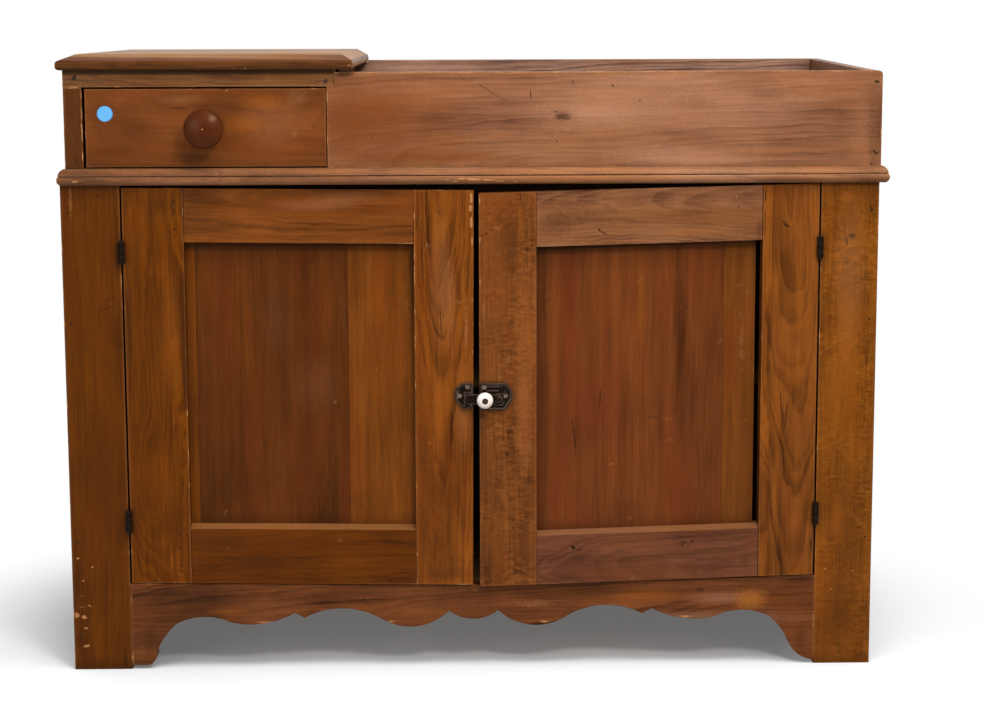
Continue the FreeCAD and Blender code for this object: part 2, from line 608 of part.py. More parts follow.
class Door:
    """A framed and panelled door, drawn shut and then swung to where it stands at rest."""

    def __init__(self, name, hand, apron_top, top_gap, sag, lean, ajar, hinge_stile, edge_strip,
                 lock_stile, top_rail, bottom_rail, panel_joints, shrinkage, hinge_insets, nails):
        self.name = name
        self.hand = hand  # 1 for a door hinged at its left, -1 for one hinged at its right
        self.jamb = doorway_left if hand > 0 else doorway_right
        self.edge = self.jamb + hand * HINGE_GAP
        self.free = meeting - hand * MEETING_GAP / 2
        self.width = abs(self.free - self.edge)
        self.bottom = apron_top + DOOR_LIFT
        self.height = CASE_HEIGHT - top_gap - self.bottom
        self.sag = sag
        self.lean = lean
        self.ajar = ajar
        self.hinge_stile = hinge_stile
        self.edge_strip = edge_strip
        self.lock_stile = lock_stile
        self.top_rail = top_rail
        self.bottom_rail = bottom_rail
        self.panel_joints = panel_joints
        self.shrinkage = shrinkage
        low, high = hinge_insets
        self.hinge_heights = (self.bottom + low, self.bottom + self.height - high)
        self.nails = nails
        self.axis = Vector(self.jamb + hand * HINGE_GAP / 2, barrel_y, 0)

    def place(self, u, z):
        """(x, z) of a point of the door, with the drop that the sag gives it."""
        return self.edge + self.hand * u, self.bottom + z - self.sag * u / self.width

    def board(self, u0, u1, z0, z1, y0=0.0, y1=DOOR_THICKNESS, taper=0.0):
        """A piece of the door. Its ends follow the sag, and taper leans its outer edge."""
        outline = [(u0, z0), (u1 - taper / 2, z0), (u1 + taper / 2, z1), (u0, z1)]
        return prism_y([self.place(*point) for point in outline], y0, y1)

    def swung(self, shape):
        """The shape turned about the hinges by the angle that the door stands open."""
        moved = shape.copy()
        moved.rotate(self.axis, Vector(0, 0, 1), -self.hand * self.ajar)
        return moved

    def shut(self, point):
        """A point of the swung door, taken back to where it is on the shut door."""
        turn = FreeCAD.Rotation(Vector(0, 0, 1), self.hand * self.ajar)
        return self.axis + turn.multVec(point - self.axis)

    def tenon(self, u0, u1, z0, z1):
        middle = PANEL_RECESS + PANEL_THICKNESS / 2
        return self.board(u0, u1, z0, z1, middle - TENON_THICKNESS / 2, middle + TENON_THICKNESS / 2)

    def bottom_rail_body(self, u0, u1):
        """The bottom rail, with its top edge sloping down to the front so that dust falls off."""
        front = self.bottom_rail
        rear = front + RAIL_WEATHERING
        x, drop = self.place(u0, 0)
        far_x, far_drop = self.place(u1, 0)
        section = [(0, 0), (DOOR_THICKNESS, 0), (DOOR_THICKNESS, rear), (PANEL_RECESS, rear), (0, front)]
        points = [Vector(x, y, drop + z) for y, z in section]
        return prism(points, Vector(far_x - x, 0, far_drop - drop))

    def frame(self):
        """Two stiles and two rails, tenoned together, and the panel in their grooves."""
        stile = self.hinge_stile
        lock = self.width - self.lock_stile
        low = self.bottom_rail + RAIL_WEATHERING
        high = self.height - self.top_rail
        deep = PANEL_GROOVE_DEPTH
        panel_back = PANEL_RECESS + PANEL_THICKNESS
        groove = self.board(stile - deep, lock + deep, low - deep, high + deep, PANEL_RECESS, panel_back)
        rails = []
        for body, z0, z1 in (
            (self.bottom_rail_body(stile, lock), TENON_SHOULDER, low - TENON_SHOULDER),
            (self.board(stile, lock, high, self.height), high + TENON_SHOULDER, self.height - TENON_SHOULDER),
        ):
            ends = [self.tenon(stile - TENON_LENGTH, stile, z0, z1), self.tenon(lock, lock + TENON_LENGTH, z0, z1)]
            rails.append(joined([body] + ends).cut(groove))
        hollow = [groove] + rails
        seam = stile - self.edge_strip
        main = self.board(0, seam, 0, self.height).cut(hollow)
        strip = self.board(seam, stile, 0, self.height).cut(hollow)
        leaning = self.board(lock, self.width, 0, self.height, taper=self.lean)
        first = stile + self.shrinkage if self.shrinkage else stile - deep
        edges = [first] + [stile + share * (lock - stile) for share in self.panel_joints] + [lock + deep]
        panel = [
            self.board(u0, u1, low - deep, high + deep, PANEL_RECESS, panel_back)
            for u0, u1 in zip(edges, edges[1:])
        ]
        self.add("hinge_stile", Part.makeCompound([main, strip]))
        self.add("lock_stile", leaning.cut(hollow))
        self.add("bottom_rail", rails[0])
        self.add("top_rail", rails[1])
        self.add("panel", Part.makeCompound(panel))
        pins = []
        for share, z in self.nails:
            x, height = self.place(stile + share * (lock - stile), measured(z, 0, self.height))
            pins.append(nail(Vector(x, 0, height), Vector(0, 1, 0), DOOR_NAIL_LENGTH))
        held = [self.name + piece for piece in ("_hinge_stile", "_lock_stile", "_bottom_rail", "_top_rail")]
        drive(self.name + "_nails", pins, held)

    def add(self, piece, shape):
        nodes[self.name + "_" + piece] = shape

    def knuckle(self, z0, z1, bore):
        base = self.axis + Vector(0, 0, z0)
        outer = Part.makeCylinder(BARREL_RADIUS, z1 - z0, base)
        return outer.cut(Part.makeCylinder(bore, z1 - z0, base))

    def leaf(self, middle, on_door):
        """One leaf of a hinge: the case has the outer two knuckles and the door has the inner one."""
        start = self.edge - self.hand * LEAF_THICKNESS if on_door else self.jamb
        x0, x1 = sorted((start, start + self.hand * LEAF_THICKNESS))
        z0 = middle - HINGE_LENGTH / 2
        step = HINGE_LENGTH / 3
        spans = [(z0 + step, z0 + 2 * step)] if on_door else [(z0, z0 + step), (z0 + 2 * step, z0 + 3 * step)]
        bore = HINGE_PIN_RADIUS + (HINGE_PIN_CLEARANCE if on_door else 0)
        gap = KNUCKLE_GAP / 2
        shapes = [board(x0, x1, 0, LEAF_WIDTH, z0, z0 + HINGE_LENGTH)]
        for low, high in spans:
            low, high = low + gap, high - gap
            neck = board(x0, x1, barrel_y, 0, low, high).cut(
                Part.makeCylinder(bore, high - low, self.axis + Vector(0, 0, low)))
            shapes += [self.knuckle(low, high, bore), neck]
        return joined(shapes)

    def leaf_screws(self, middle, on_door):
        """The two screws of a leaf: (plain, slotted) pairs."""
        inward = self.hand if on_door else -self.hand
        start = self.edge - inward * LEAF_THICKNESS if on_door else self.jamb - inward * LEAF_THICKNESS
        axis = Vector(inward, 0, 0)
        pairs = []
        for offset in (-HINGE_SCREW_SPACING / 2, HINGE_SCREW_SPACING / 2):
            point = Vector(start, HINGE_SCREW_DEPTH, middle + offset)
            plain = screw(point, axis, HINGE_SCREW_LENGTH)
            pairs.append((plain, slotted(plain, point, axis)))
        return pairs


def hang(doors):
    """The hinges: leaves and screws on each side, and pins fixed in the case leaves."""
    case_leaves = []
    case_screws = []
    pins = []
    for door in doors:
        leaves = []
        screws = []
        for middle in door.hinge_heights:
            screws += door.leaf_screws(middle, True)
            leaves.append(door.leaf(middle, True))
            own = door.leaf_screws(middle, False)
            case_screws += own
            case_leaves.append(door.leaf(middle, False).cut([plain for plain, cut in own]))
            base = door.axis + Vector(0, 0, middle - HINGE_LENGTH / 2)
            pins.append(Part.makeCylinder(HINGE_PIN_RADIUS, HINGE_LENGTH, base))
        leaf_node = door.name + "_hinge_leaves"
        nodes[leaf_node] = Part.makeCompound(leaves)
        plain = [pair[0] for pair in screws]
        drive(door.name + "_hinge_screws", plain, [leaf_node, door.name + "_hinge_stile"],
              [pair[1] for pair in screws])
    nodes["hinge_case_leaves"] = Part.makeCompound(case_leaves)
    nodes["hinge_pins"] = Part.makeCompound(pins)
    drive("hinge_case_screws", [pair[0] for pair in case_screws], ["left_case_stile", "right_case_stile"],
          [pair[1] for pair in case_screws])


def iron_plate(door, outline, thickness, middle):
    """A cast plate on a door's face, with a raised rim. Its outline runs from the door's free edge."""

    def at(point):
        return door.free - door.hand * point[0], middle + point[1]

    plate = prism_y([at(point) for point in outline], -thickness, 0)
    pocket = prism_y([at(point) for point in inset(outline, LATCH_RIM_WIDTH)],
                     -thickness, -(thickness - LATCH_RIM_HEIGHT))
    return plate.cut(pocket)


def plate_screws(door, places, middle, face):
    """Screws through a plate into the door: (plain, slotted) pairs."""
    axis = Vector(0, 1, 0)
    pairs = []
    for a, h in places:
        point = Vector(door.free - door.hand * a, face, middle + h)
        plain = screw(point, axis, LATCH_SCREW_LENGTH)
        pairs.append((plain, slotted(plain, point, axis)))
    return pairs


def latch(left, right):
    """A gravity latch: the bar on the right door leans on the nose of the keeper on the left door."""
    middle = LATCH_HEIGHT
    bar_z = middle - LATCH_BAR_DROP
    pocket_face = -(LATCH_PLATE_THICKNESS - LATCH_RIM_HEIGHT)
    plate = iron_plate(right, LATCH_PLATE_OUTLINE, LATCH_PLATE_THICKNESS, middle)
    screws = plate_screws(right, LATCH_SCREW_PLACES, middle, pocket_face)
    bar_back = -(LATCH_PLATE_THICKNESS + LATCH_CLEARANCE)
    bar_front = bar_back - LATCH_BAR_THICKNESS
    pivot_place, end_radius = LATCH_BAR_WIDTHS[-1]
    pivot = Vector(right.free + pivot_place, 0, bar_z)
    bar_end = Vector(pivot.x, bar_back, bar_z)
    knob = Vector(right.free + LATCH_KNOB_PLACE, bar_front, bar_z)
    out = Vector(0, -1, 0)

    head = LATCH_CLEARANCE - bar_front
    rim = LATCH_PIVOT_HEAD_RADIUS
    rivet = turned(pivot, out, corners(
        (0, -LATCH_PIVOT_DEPTH), (LATCH_PIVOT_RADIUS, -LATCH_PIVOT_DEPTH), (LATCH_PIVOT_RADIUS, head),
        (rim, head)) + [dome((rim, head), (0, head + LATCH_PIVOT_HEAD_HEIGHT))])

    upper = [(right.free + a, bar_z + half) for a, half in LATCH_BAR_WIDTHS]
    lower = [(right.free + a, bar_z - half) for a, half in LATCH_BAR_WIDTHS]
    bar = joined([
        prism_y(lower + upper[::-1], bar_front, bar_back),
        Part.makeCylinder(end_radius, LATCH_BAR_THICKNESS, bar_end, out),
    ])
    bore = LATCH_PIVOT_RADIUS + HINGE_PIN_CLEARANCE
    bar = bar.cut(Part.makeCylinder(bore, LATCH_BAR_THICKNESS, bar_end, out))

    length = LATCH_KNOB_LENGTH
    sides = scaled(LATCH_KNOB_TURNING, LATCH_KNOB_RADIUS, length)
    china = corners((0, 0), sides[0][0]) + sides + corners(sides[-1][-1], (0, length))
    sunk = length - LATCH_STUD_SINK
    wide = LATCH_STUD_HEAD_RADIUS
    stud = turned(knob, out, corners(
        (0, -LATCH_BAR_THICKNESS), (LATCH_STUD_RADIUS, -LATCH_BAR_THICKNESS), (LATCH_STUD_RADIUS, sunk),
        (wide, sunk), (wide, length)) + [dome((wide, length), (0, length + LATCH_STUD_HEAD_HEIGHT))])
    nodes["latch_bar"] = bar.cut(stud)
    nodes["latch_knob"] = turned(knob, out, china).cut(stud)
    nodes["latch_knob_stud"] = stud
    nodes["latch_plate"] = plate
    drive("latch_plate_screws", [pair[0] for pair in screws],
          ["latch_plate", "right_door_lock_stile"], [pair[1] for pair in screws])
    drive("latch_pivot", [rivet], ["latch_plate", "right_door_lock_stile"])

    tip = right.free + LATCH_BAR_WIDTHS[0][0]
    bar_line = right.swung(Part.makeLine(Vector(tip, bar_back, 0), Vector(right.free, bar_back, 0)))
    near, far = [left.shut(vertex.Point) for vertex in bar_line.Vertexes]
    slope = (far.y - near.y) / (far.x - near.x)
    nose_right, nose_left = [left.free - a for a, h in KEEPER_NOSE]
    nose_low, nose_high = [middle + h for a, h in KEEPER_NOSE]
    nose_front = near.y + slope * (nose_right - near.x) + LATCH_CLEARANCE
    keeper = iron_plate(left, KEEPER_OUTLINE, KEEPER_THICKNESS, middle)
    pocket_face = LATCH_RIM_HEIGHT - KEEPER_THICKNESS
    nose = prism_z([(nose_left, pocket_face), (nose_right, pocket_face), (nose_right, nose_front),
                    (nose_left, near.y + slope * (nose_left - near.x) + LATCH_CLEARANCE)], nose_low, nose_high)
    screws = plate_screws(left, KEEPER_SCREW_PLACES, middle, pocket_face)
    nodes["latch_keeper"] = joined([keeper, nose])
    drive("keeper_screws", [pair[0] for pair in screws],
          ["latch_keeper", "left_door_lock_stile"], [pair[1] for pair in screws])


def fasteners():
    """Screws of the drawer rail, and the nails of the case."""
    into = Vector(0, 1, 0)
    pairs = []
    for inset, height in RAIL_SCREWS:
        point = Vector(measured(inset, box_left, opening_right + RAIL_LAP), 0, rail_bottom + height)
        plain = screw(point, into, RAIL_SCREW_LENGTH, RAIL_SCREW_HEAD_RADIUS)
        pairs.append((plain, slotted(plain, point, into)))
    drive("rail_screws", [pair[0] for pair in pairs],
          ["drawer_rail", "drawer_end_board", "drawer_partition", "drawer_guides", "well_front_board"],
          [pair[1] for pair in pairs])

    places = [(box_right - END_NAIL_INSET, measured(z, well_bottom, well_top)) for z in WELL_NAIL_HEIGHTS]
    for x in (case_left + END_NAIL_INSET, case_right - END_NAIL_INSET):
        places += [(x, measured(z, 0, CASE_HEIGHT)) for z in STILE_NAIL_HEIGHTS]
    nails = [nail(Vector(x, 0, z), into, NAIL_LENGTH) for x, z in places]
    pitch = (inner_right - inner_left) / BACK_BOARD_COUNT
    levels = (case_floor_top - FLOOR_THICKNESS / 2, SHELF_HEIGHT - SHELF_THICKNESS / 2)
    for i in range(BACK_BOARD_COUNT):
        for share in BACK_NAIL_SHARES:
            x = inner_left + (i + share) * pitch
            nails += [nail(Vector(x, CASE_DEPTH, z), Vector(0, -1, 0), NAIL_LENGTH) for z in levels]
    drive("case_nails", nails, [
        "well_front_board", "well_right_side", "left_case_stile", "right_case_stile", "left_side_board",
        "right_side_board", "back_boards", "case_floor", "middle_shelf",
    ])


def build():
    nodes["left_side_board"] = side_board(case_left)
    nodes["right_side_board"] = side_board(inner_right)
    nodes["left_case_stile"] = board(case_left, doorway_left, 0, STILE_THICKNESS, 0, CASE_HEIGHT)
    nodes["right_case_stile"] = board(doorway_right, case_right, 0, STILE_THICKNESS, 0, CASE_HEIGHT)
    nodes["scalloped_apron"] = apron()
    nodes["case_floor"] = board(inner_left, inner_right, STILE_THICKNESS, back_face,
                                case_floor_top - FLOOR_THICKNESS, case_floor_top)
    nodes["middle_shelf"] = board(inner_left, inner_right, SHELF_SETBACK, back_face,
                                  SHELF_HEIGHT - SHELF_THICKNESS, SHELF_HEIGHT)
    nodes["shelf_cleats"] = Part.makeCompound(cleats())
    stop_y = DOOR_THICKNESS + STOP_CLEARANCE
    nodes["door_stop"] = board(inner_left, inner_right, stop_y, stop_y + STOP_WIDTH,
                               CASE_HEIGHT - STOP_HEIGHT, CASE_HEIGHT)
    nodes["back_boards"] = Part.makeCompound(back_boards())
    nodes["well_floor"] = board(box_left, box_right, 0, CASE_DEPTH, CASE_HEIGHT, well_bottom)
    lengths = waist_mouldings()
    for name, shape in zip(("front", "left", "right"), lengths):
        nodes["waist_moulding_" + name] = shape
    upper_box()
    nodes["top_board"] = top_board()
    nodes["drawer_guides"] = Part.makeCompound(drawer_guides())
    drawer()

    left = Door("left_door", 1, APRON_TOP_LEFT, LEFT_DOOR_TOP_GAP, LEFT_DOOR_SAG, LEFT_DOOR_LEAN,
                LEFT_DOOR_AJAR, LEFT_HINGE_STILE, LEFT_EDGE_STRIP, LEFT_LOCK_STILE, LEFT_TOP_RAIL,
                LEFT_BOTTOM_RAIL, LEFT_PANEL_JOINTS, LEFT_PANEL_SHRINKAGE, LEFT_HINGE_INSETS,
                LEFT_DOOR_NAILS)
    right = Door("right_door", -1, APRON_TOP_RIGHT, RIGHT_DOOR_TOP_GAP, RIGHT_DOOR_SAG, RIGHT_DOOR_LEAN,
                 RIGHT_DOOR_AJAR, RIGHT_HINGE_STILE, RIGHT_EDGE_STRIP, RIGHT_LOCK_STILE, RIGHT_TOP_RAIL,
                 RIGHT_BOTTOM_RAIL, RIGHT_PANEL_JOINTS, RIGHT_PANEL_SHRINKAGE, RIGHT_HINGE_INSETS,
                 RIGHT_DOOR_NAILS)
    for door in (left, right):
        door.frame()
    hang((left, right))
    latch(left, right)
    fasteners()

    swinging = {
        left: ("left_door_", "latch_keeper", "keeper_screws"),
        right: ("right_door_", "latch_plate", "latch_pivot", "latch_bar", "latch_knob"),
    }
    for door, names in swinging.items():
        for name in nodes:
            if name.startswith(names):
                nodes[name] = door.swung(nodes[name])


def main():
    os.makedirs("parts", exist_ok=True)
    build()
    to_middle = Vector(0, -(CASE_DEPTH - KNOB_PROJECTION) / 2, 0)
    for name, shape in nodes.items():
        placed = shape.translated(to_middle)
        solids = placed.Solids
        result = solids[0] if len(solids) == 1 else Part.makeCompound(solids)
        result.exportStep(os.path.join("parts", name + ".step"))
        print(f"{name}: {len(solids)} solid(s), {result.Volume / 1000:.1f} cm3, valid {result.isValid()}")


main()
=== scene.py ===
import math
from functools import partial

import bmesh
import bpy
from mathutils import Matrix, Vector, kdtree, noise


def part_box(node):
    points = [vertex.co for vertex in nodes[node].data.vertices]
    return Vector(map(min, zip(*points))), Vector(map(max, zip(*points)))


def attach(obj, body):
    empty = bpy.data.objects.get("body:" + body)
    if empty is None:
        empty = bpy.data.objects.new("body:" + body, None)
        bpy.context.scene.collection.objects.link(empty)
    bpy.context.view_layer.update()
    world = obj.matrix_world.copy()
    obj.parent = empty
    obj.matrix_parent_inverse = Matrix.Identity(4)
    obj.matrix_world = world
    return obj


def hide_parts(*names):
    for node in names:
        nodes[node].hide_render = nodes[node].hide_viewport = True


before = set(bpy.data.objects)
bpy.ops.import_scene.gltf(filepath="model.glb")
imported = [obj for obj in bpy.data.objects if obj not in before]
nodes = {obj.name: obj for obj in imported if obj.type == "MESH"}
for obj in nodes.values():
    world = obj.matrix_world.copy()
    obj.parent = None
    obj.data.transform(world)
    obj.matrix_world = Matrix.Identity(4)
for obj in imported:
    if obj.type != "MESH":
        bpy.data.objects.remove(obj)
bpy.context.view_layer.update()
MM = 0.001


# ---------------------------------------------------------------- colour and node helpers

def linear(hex_colour):
    """An sRGB hex colour as linear RGBA."""
    channels = [int(hex_colour[i:i + 2], 16) / 255 for i in (1, 3, 5)]
    return [c / 12.92 if c <= 0.04045 else ((c + 0.055) / 1.055) ** 2.4 for c in channels] + [1.0]


# what the second word of a node's kind chooses, as in "Math MULTIPLY"
CHOICES = {"Math": "operation", "VectorMath": "operation", "VectorRotate": "rotation_type",
           "Mix": "data_type", "MapRange": "interpolation_type"}


def add(tree, kind, *values, **named):
    """Adds a node. Plain values go to its open inputs in order. A name in lower case is a setting of the
    node, and a name with a capital is an input, with underscores for spaces. A node given as a value
    links its first open output, and a hex colour turns linear."""
    kind, _, choice = kind.partition(" ")
    if choice:
        named[CHOICES[kind]] = choice
    node = tree.nodes.new(kind if kind.startswith("Node") else "ShaderNode" + kind)
    for name, value in named.items():
        if name[0].islower():
            setattr(node, name, value)
    sockets = [socket for socket in node.inputs if socket.enabled]
    filled = list(zip(sockets, values))
    filled += [(node.inputs[name.replace("_", " ")], value) for name, value in named.items()
               if name[0].isupper()]
    for socket, value in filled:
        if isinstance(value, bpy.types.Node):
            value = next(output for output in value.outputs if output.enabled)
        if isinstance(value, bpy.types.NodeSocket):
            tree.links.new(value, socket)
        elif isinstance(value, str):
            socket.default_value = linear(value)
        elif value is not None:
            socket.default_value = value
    return node


def group(name, inputs, outputs):
    """A node group with the sockets named, what puts a node in it, and the outlets of its input node."""
    tree = bpy.data.node_groups.new(name, "ShaderNodeTree")
    for side, sockets in (("INPUT", inputs), ("OUTPUT", outputs)):
        for label, kind in sockets.items():
            tree.interface.new_socket(label, in_out=side, socket_type="NodeSocket" + kind)
    put = partial(add, tree)
    return tree, put, put("NodeGroupInput").outputs


def per(width):
    """The scale of a noise or cell pattern in metres whose figures are this many millimetres across."""
    return 1.0 / (width * MM)


def new_material(name):
    """An empty material, what puts a node in it, and a point's place on the piece, in metres."""
    material = bpy.data.materials.new(name)
    material.use_nodes = True
    material.node_tree.nodes.clear()
    put = partial(add, material.node_tree)
    return material, put, put("TexCoord").outputs["Object"]


def repaint(node, material):
    """Gives a node of the frame a material in place of its plain one."""
    nodes[node].data.materials.clear()
    nodes[node].data.materials.append(material)


def new_object(name, data):
    thing = bpy.data.objects.new(name, data)
    bpy.context.scene.collection.objects.link(thing)
    return thing


# ---------------------------------------------------------------- camera, light and floor

def set_camera():
    """A long lens about 2.9 m in front, a little above the top board and tipped down by 8 degrees."""
    data = bpy.data.cameras.new("camera")
    data.lens = 74.39
    data.sensor_width = 36.0
    data.shift_y = -0.04
    data.clip_start = 0.05
    place, yaw, down, roll = (-0.0209, -3.1369, 0.9269), -1.106, 8.060, -0.171
    camera = new_object("camera", data)
    camera.matrix_world = Matrix.Translation(place)
    for angle, axis in ((yaw, "Z"), (90 - down, "X"), (roll, "Z")):
        camera.matrix_world = camera.matrix_world @ Matrix.Rotation(math.radians(angle), 4, axis)
    bpy.context.scene.camera = camera


def lamp(name, place, target, size, watts, colour, mirrored=True):
    data = bpy.data.lights.new(name, "AREA")
    data.shape = "RECTANGLE"
    data.size, data.size_y = size
    data.energy = watts
    data.color = linear(colour)[:3]
    light = new_object(name, data)
    light.location = place
    light.rotation_euler = (Vector(target) - Vector(place)).to_track_quat("-Z", "Y").to_euler()
    light.visible_glossy = mirrored


def set_light():
    """A small warm lamp high in front, a soft box at the left, a broad lamp overhead that nothing mirrors,
    and a surround that looks bright behind the cabinet and dim in front of it."""
    lamp("key", (0.75, -2.15, 2.2), (0.05, -0.2, 0.45), (0.55, 0.45), 36, "#fffaf4")
    lamp("fill", (-2.1, -2.6, 1.3), (-0.1, 0.0, 0.4), (1.6, 1.6), 20, "#fbfbff")
    lamp("top", (0.35, -0.95, 2.5), (0.0, -0.2, 0.3), (1.6, 0.8), 42, "#ffffff", mirrored=False)
    world = bpy.data.worlds.new("surround")
    bpy.context.scene.world = world
    world.use_nodes = True
    world.node_tree.nodes.clear()
    put = partial(add, world.node_tree)
    rays = put("LightPath").outputs
    seen = put("Math MAXIMUM", rays["Is Camera Ray"], rays["Is Transmission Ray"])
    toward = put("SeparateXYZ", put("TexCoord").outputs["Generated"]).outputs["Y"]
    behind = put("MapRange SMOOTHSTEP", toward, 0.3, 0.95, 0.16, 1.0)
    glossy = put("Math MULTIPLY", rays["Is Glossy Ray"], behind)
    ambient = put("Math MULTIPLY", rays["Is Diffuse Ray"], 0.34)
    level = put("Math MAXIMUM", put("Math MAXIMUM", seen, glossy), ambient)
    put("OutputWorld", Surface=put("Background", "#ffffff", level))


def lay_floor():
    """A plain pale floor that keeps the shadow near the feet, with painted shade in its colour where the
    cabinet stands close over it, and fades to white further off.
    """
    mesh = bpy.data.meshes.new("floor")
    reach = 60.0
    mesh.from_pydata([(-reach, -reach, 0), (reach, -reach, 0), (reach, reach, 0), (-reach, reach, 0)], [],
                     [(0, 1, 2, 3)])
    floor = new_object("floor", mesh)
    material, put, place = new_material("white_paper_sweep")
    seen = put("LightPath").outputs["Is Camera Ray"]
    # painted shade: for the camera, the paper's colour is darkened where the cabinet stands close over it
    close = put("AmbientOcclusion", None, 0.26, samples=6).outputs["AO"]
    painted_shade_factor = put("MapRange SMOOTHSTEP", close, 0.16, 0.62, 0.42, 1.0)
    paper = put("Mix RGBA", painted_shade_factor, "#000000", (0.825, 0.842, 0.865, 1))
    tone = put("Mix RGBA", seen, (0.5, 0.5, 0.5, 1), paper)
    # an oval round the cabinet keeps its shade, which fades out from 0.5 to 0.9 m to each side and from
    # 0.4 to 0.8 m to the front and back
    near = put("VectorMath ADD", place, (0.03, 0.0, 0.0))
    near = put("VectorMath MULTIPLY", near, (1.25, 1.5, 0.0))
    away = put("VectorMath LENGTH", near).outputs["Value"]
    far = put("MapRange SMOOTHSTEP", away, 0.62, 1.15)
    glow = put("Emission", "#ffffff", put("Math MULTIPLY", seen, 0.125))
    lifted = put("AddShader", put("BsdfDiffuse", tone), glow)
    faded = put("MixShader", put("Math MULTIPLY", far, seen), lifted, put("Emission", "#ffffff", 1.0))
    put("OutputMaterial", Surface=faded)
    mesh.materials.append(material)


# ---------------------------------------------------------------- wood

def slab_sawn_pine():
    """Slab-sawn pine: growth rings round a pith line that runs through or behind the board, long soft
    streaks, fine fibres and broad blotches where the stain sank in unevenly. Place is the board's own
    frame: across, through and along the grain, in metres."""
    tree, put, given = group("slab_sawn_pine", {
        "Place": "Vector", "Seed": "Float", "Pith": "Vector", "Lean": "Float", "Ring": "Float",
        "Grain": "Float", "Streak": "Float", "Blotch": "Float", "Curl": "Float",
        "Light": "Color", "Dark": "Color", "Flush": "Color"}, {"Color": "Color", "Height": "Float"})
    place = given["Place"]
    shift = put("CombineXYZ", put("Math MULTIPLY", given["Seed"], 0.37), given["Seed"],
                put("Math MULTIPLY", given["Seed"], 1.31))
    own = put("VectorMath ADD", place, shift)

    # the log was never straight: the rings wander by about 12 mm over a hand's breadth, with small ripples
    drifts = []
    for stretch, width, detail, reach in ((0.22, 95, (2.0, 0.45), 0.055), (0.5, 14, (1.0,), 0.0035)):
        along = put("VectorMath MULTIPLY", own, (1.0, 1.0, stretch))
        drift = put("TexNoise", along, per(width), *detail).outputs["Color"]
        drift = put("VectorMath SUBTRACT", drift, (0.5, 0.5, 0.5))
        drifts.append(put("VectorMath SCALE", drift, reach))
    wander = put("VectorMath ADD", *drifts)
    from_pith = put("VectorMath ADD", put("VectorMath SUBTRACT", place, given["Pith"]), wander)
    away = put("SeparateXYZ", from_pith).outputs
    depth = put("Math ADD", put("Math MULTIPLY", away["Z"], given["Lean"]), away["Y"])
    radius = put("VectorMath LENGTH", put("CombineXYZ", away["X"], depth))
    years = put("Math DIVIDE", radius.outputs["Value"], given["Ring"])
    uneven = put("TexNoise", put("Math ADD", years, given["Seed"]), 0.33, 2.0, noise_dimensions="1D")
    years = put("Math MULTIPLY_ADD", uneven, 3.2, years)
    within = put("Math FRACT", years)
    rise = put("MapRange SMOOTHSTEP", within, 0.15, 0.88)
    fall = put("MapRange SMOOTHSTEP", within, 0.90, 1.0)
    strength = put("TexNoise", put("Math FLOOR", years), 7.3, noise_dimensions="1D")
    late = put("Math MULTIPLY", put("Math SUBTRACT", rise, fall),
               put("MapRange", strength, 0.3, 0.7, 0.25, 1.0))

    # fibres are 2.4 mm wide down to 0.6 mm and about 70 mm long, streaks 20 mm wide and 400 mm long and
    # blotches 85 mm wide; curl lies across the grain in bands about 6 mm high; some long streaks are warm
    layers = []
    for stretch, width, detail, rough, warp in (
            ((1.0, 1.0, 0.035), 2.4, 3.0, 0.6, 0.0), ((1.0, 1.0, 0.05), 20, 2.0, 0.55, 0.0),
            ((1.0, 1.0, 0.55), 85, 3.0, 0.6, 0.0), ((0.42, 1.0, 1.0), 4.2, 2.0, 0.5, 0.5),
            ((1.0, 1.0, 0.16), 38, 2.0, 0.5, 0.0)):
        stretched = put("VectorMath MULTIPLY", own, stretch)
        layers.append(put("TexNoise", stretched, per(width), detail, rough, Distortion=warp))
    fibre, streak, blotch, curl, warm = layers
    patch = put("MapRange", put("TexNoise", own, per(60), 1.0), 0.32, 0.62)
    curl = put("Math MULTIPLY", put("Math SUBTRACT", curl, 0.5), patch)

    tone = put("Math MULTIPLY_ADD", late, given["Grain"], 0.36)
    for layer, weight in ((fibre, 0.85), (streak, given["Streak"]), (blotch, given["Blotch"])):
        tone = put("Math MULTIPLY_ADD", put("Math SUBTRACT", layer, 0.5), weight, tone)
    tone = put("Math MULTIPLY_ADD", curl, given["Curl"], tone, use_clamp=True)
    colour = put("Mix RGBA", tone, given["Light"], given["Dark"])
    warm = put("MapRange", warm, 0.48, 0.68, 0.0, 0.55)
    colour = put("Mix RGBA", warm, colour, given["Flush"])
    put("NodeGroupOutput", Color=colour, Height=put("Math MULTIPLY", fibre, 0.10))
    return tree


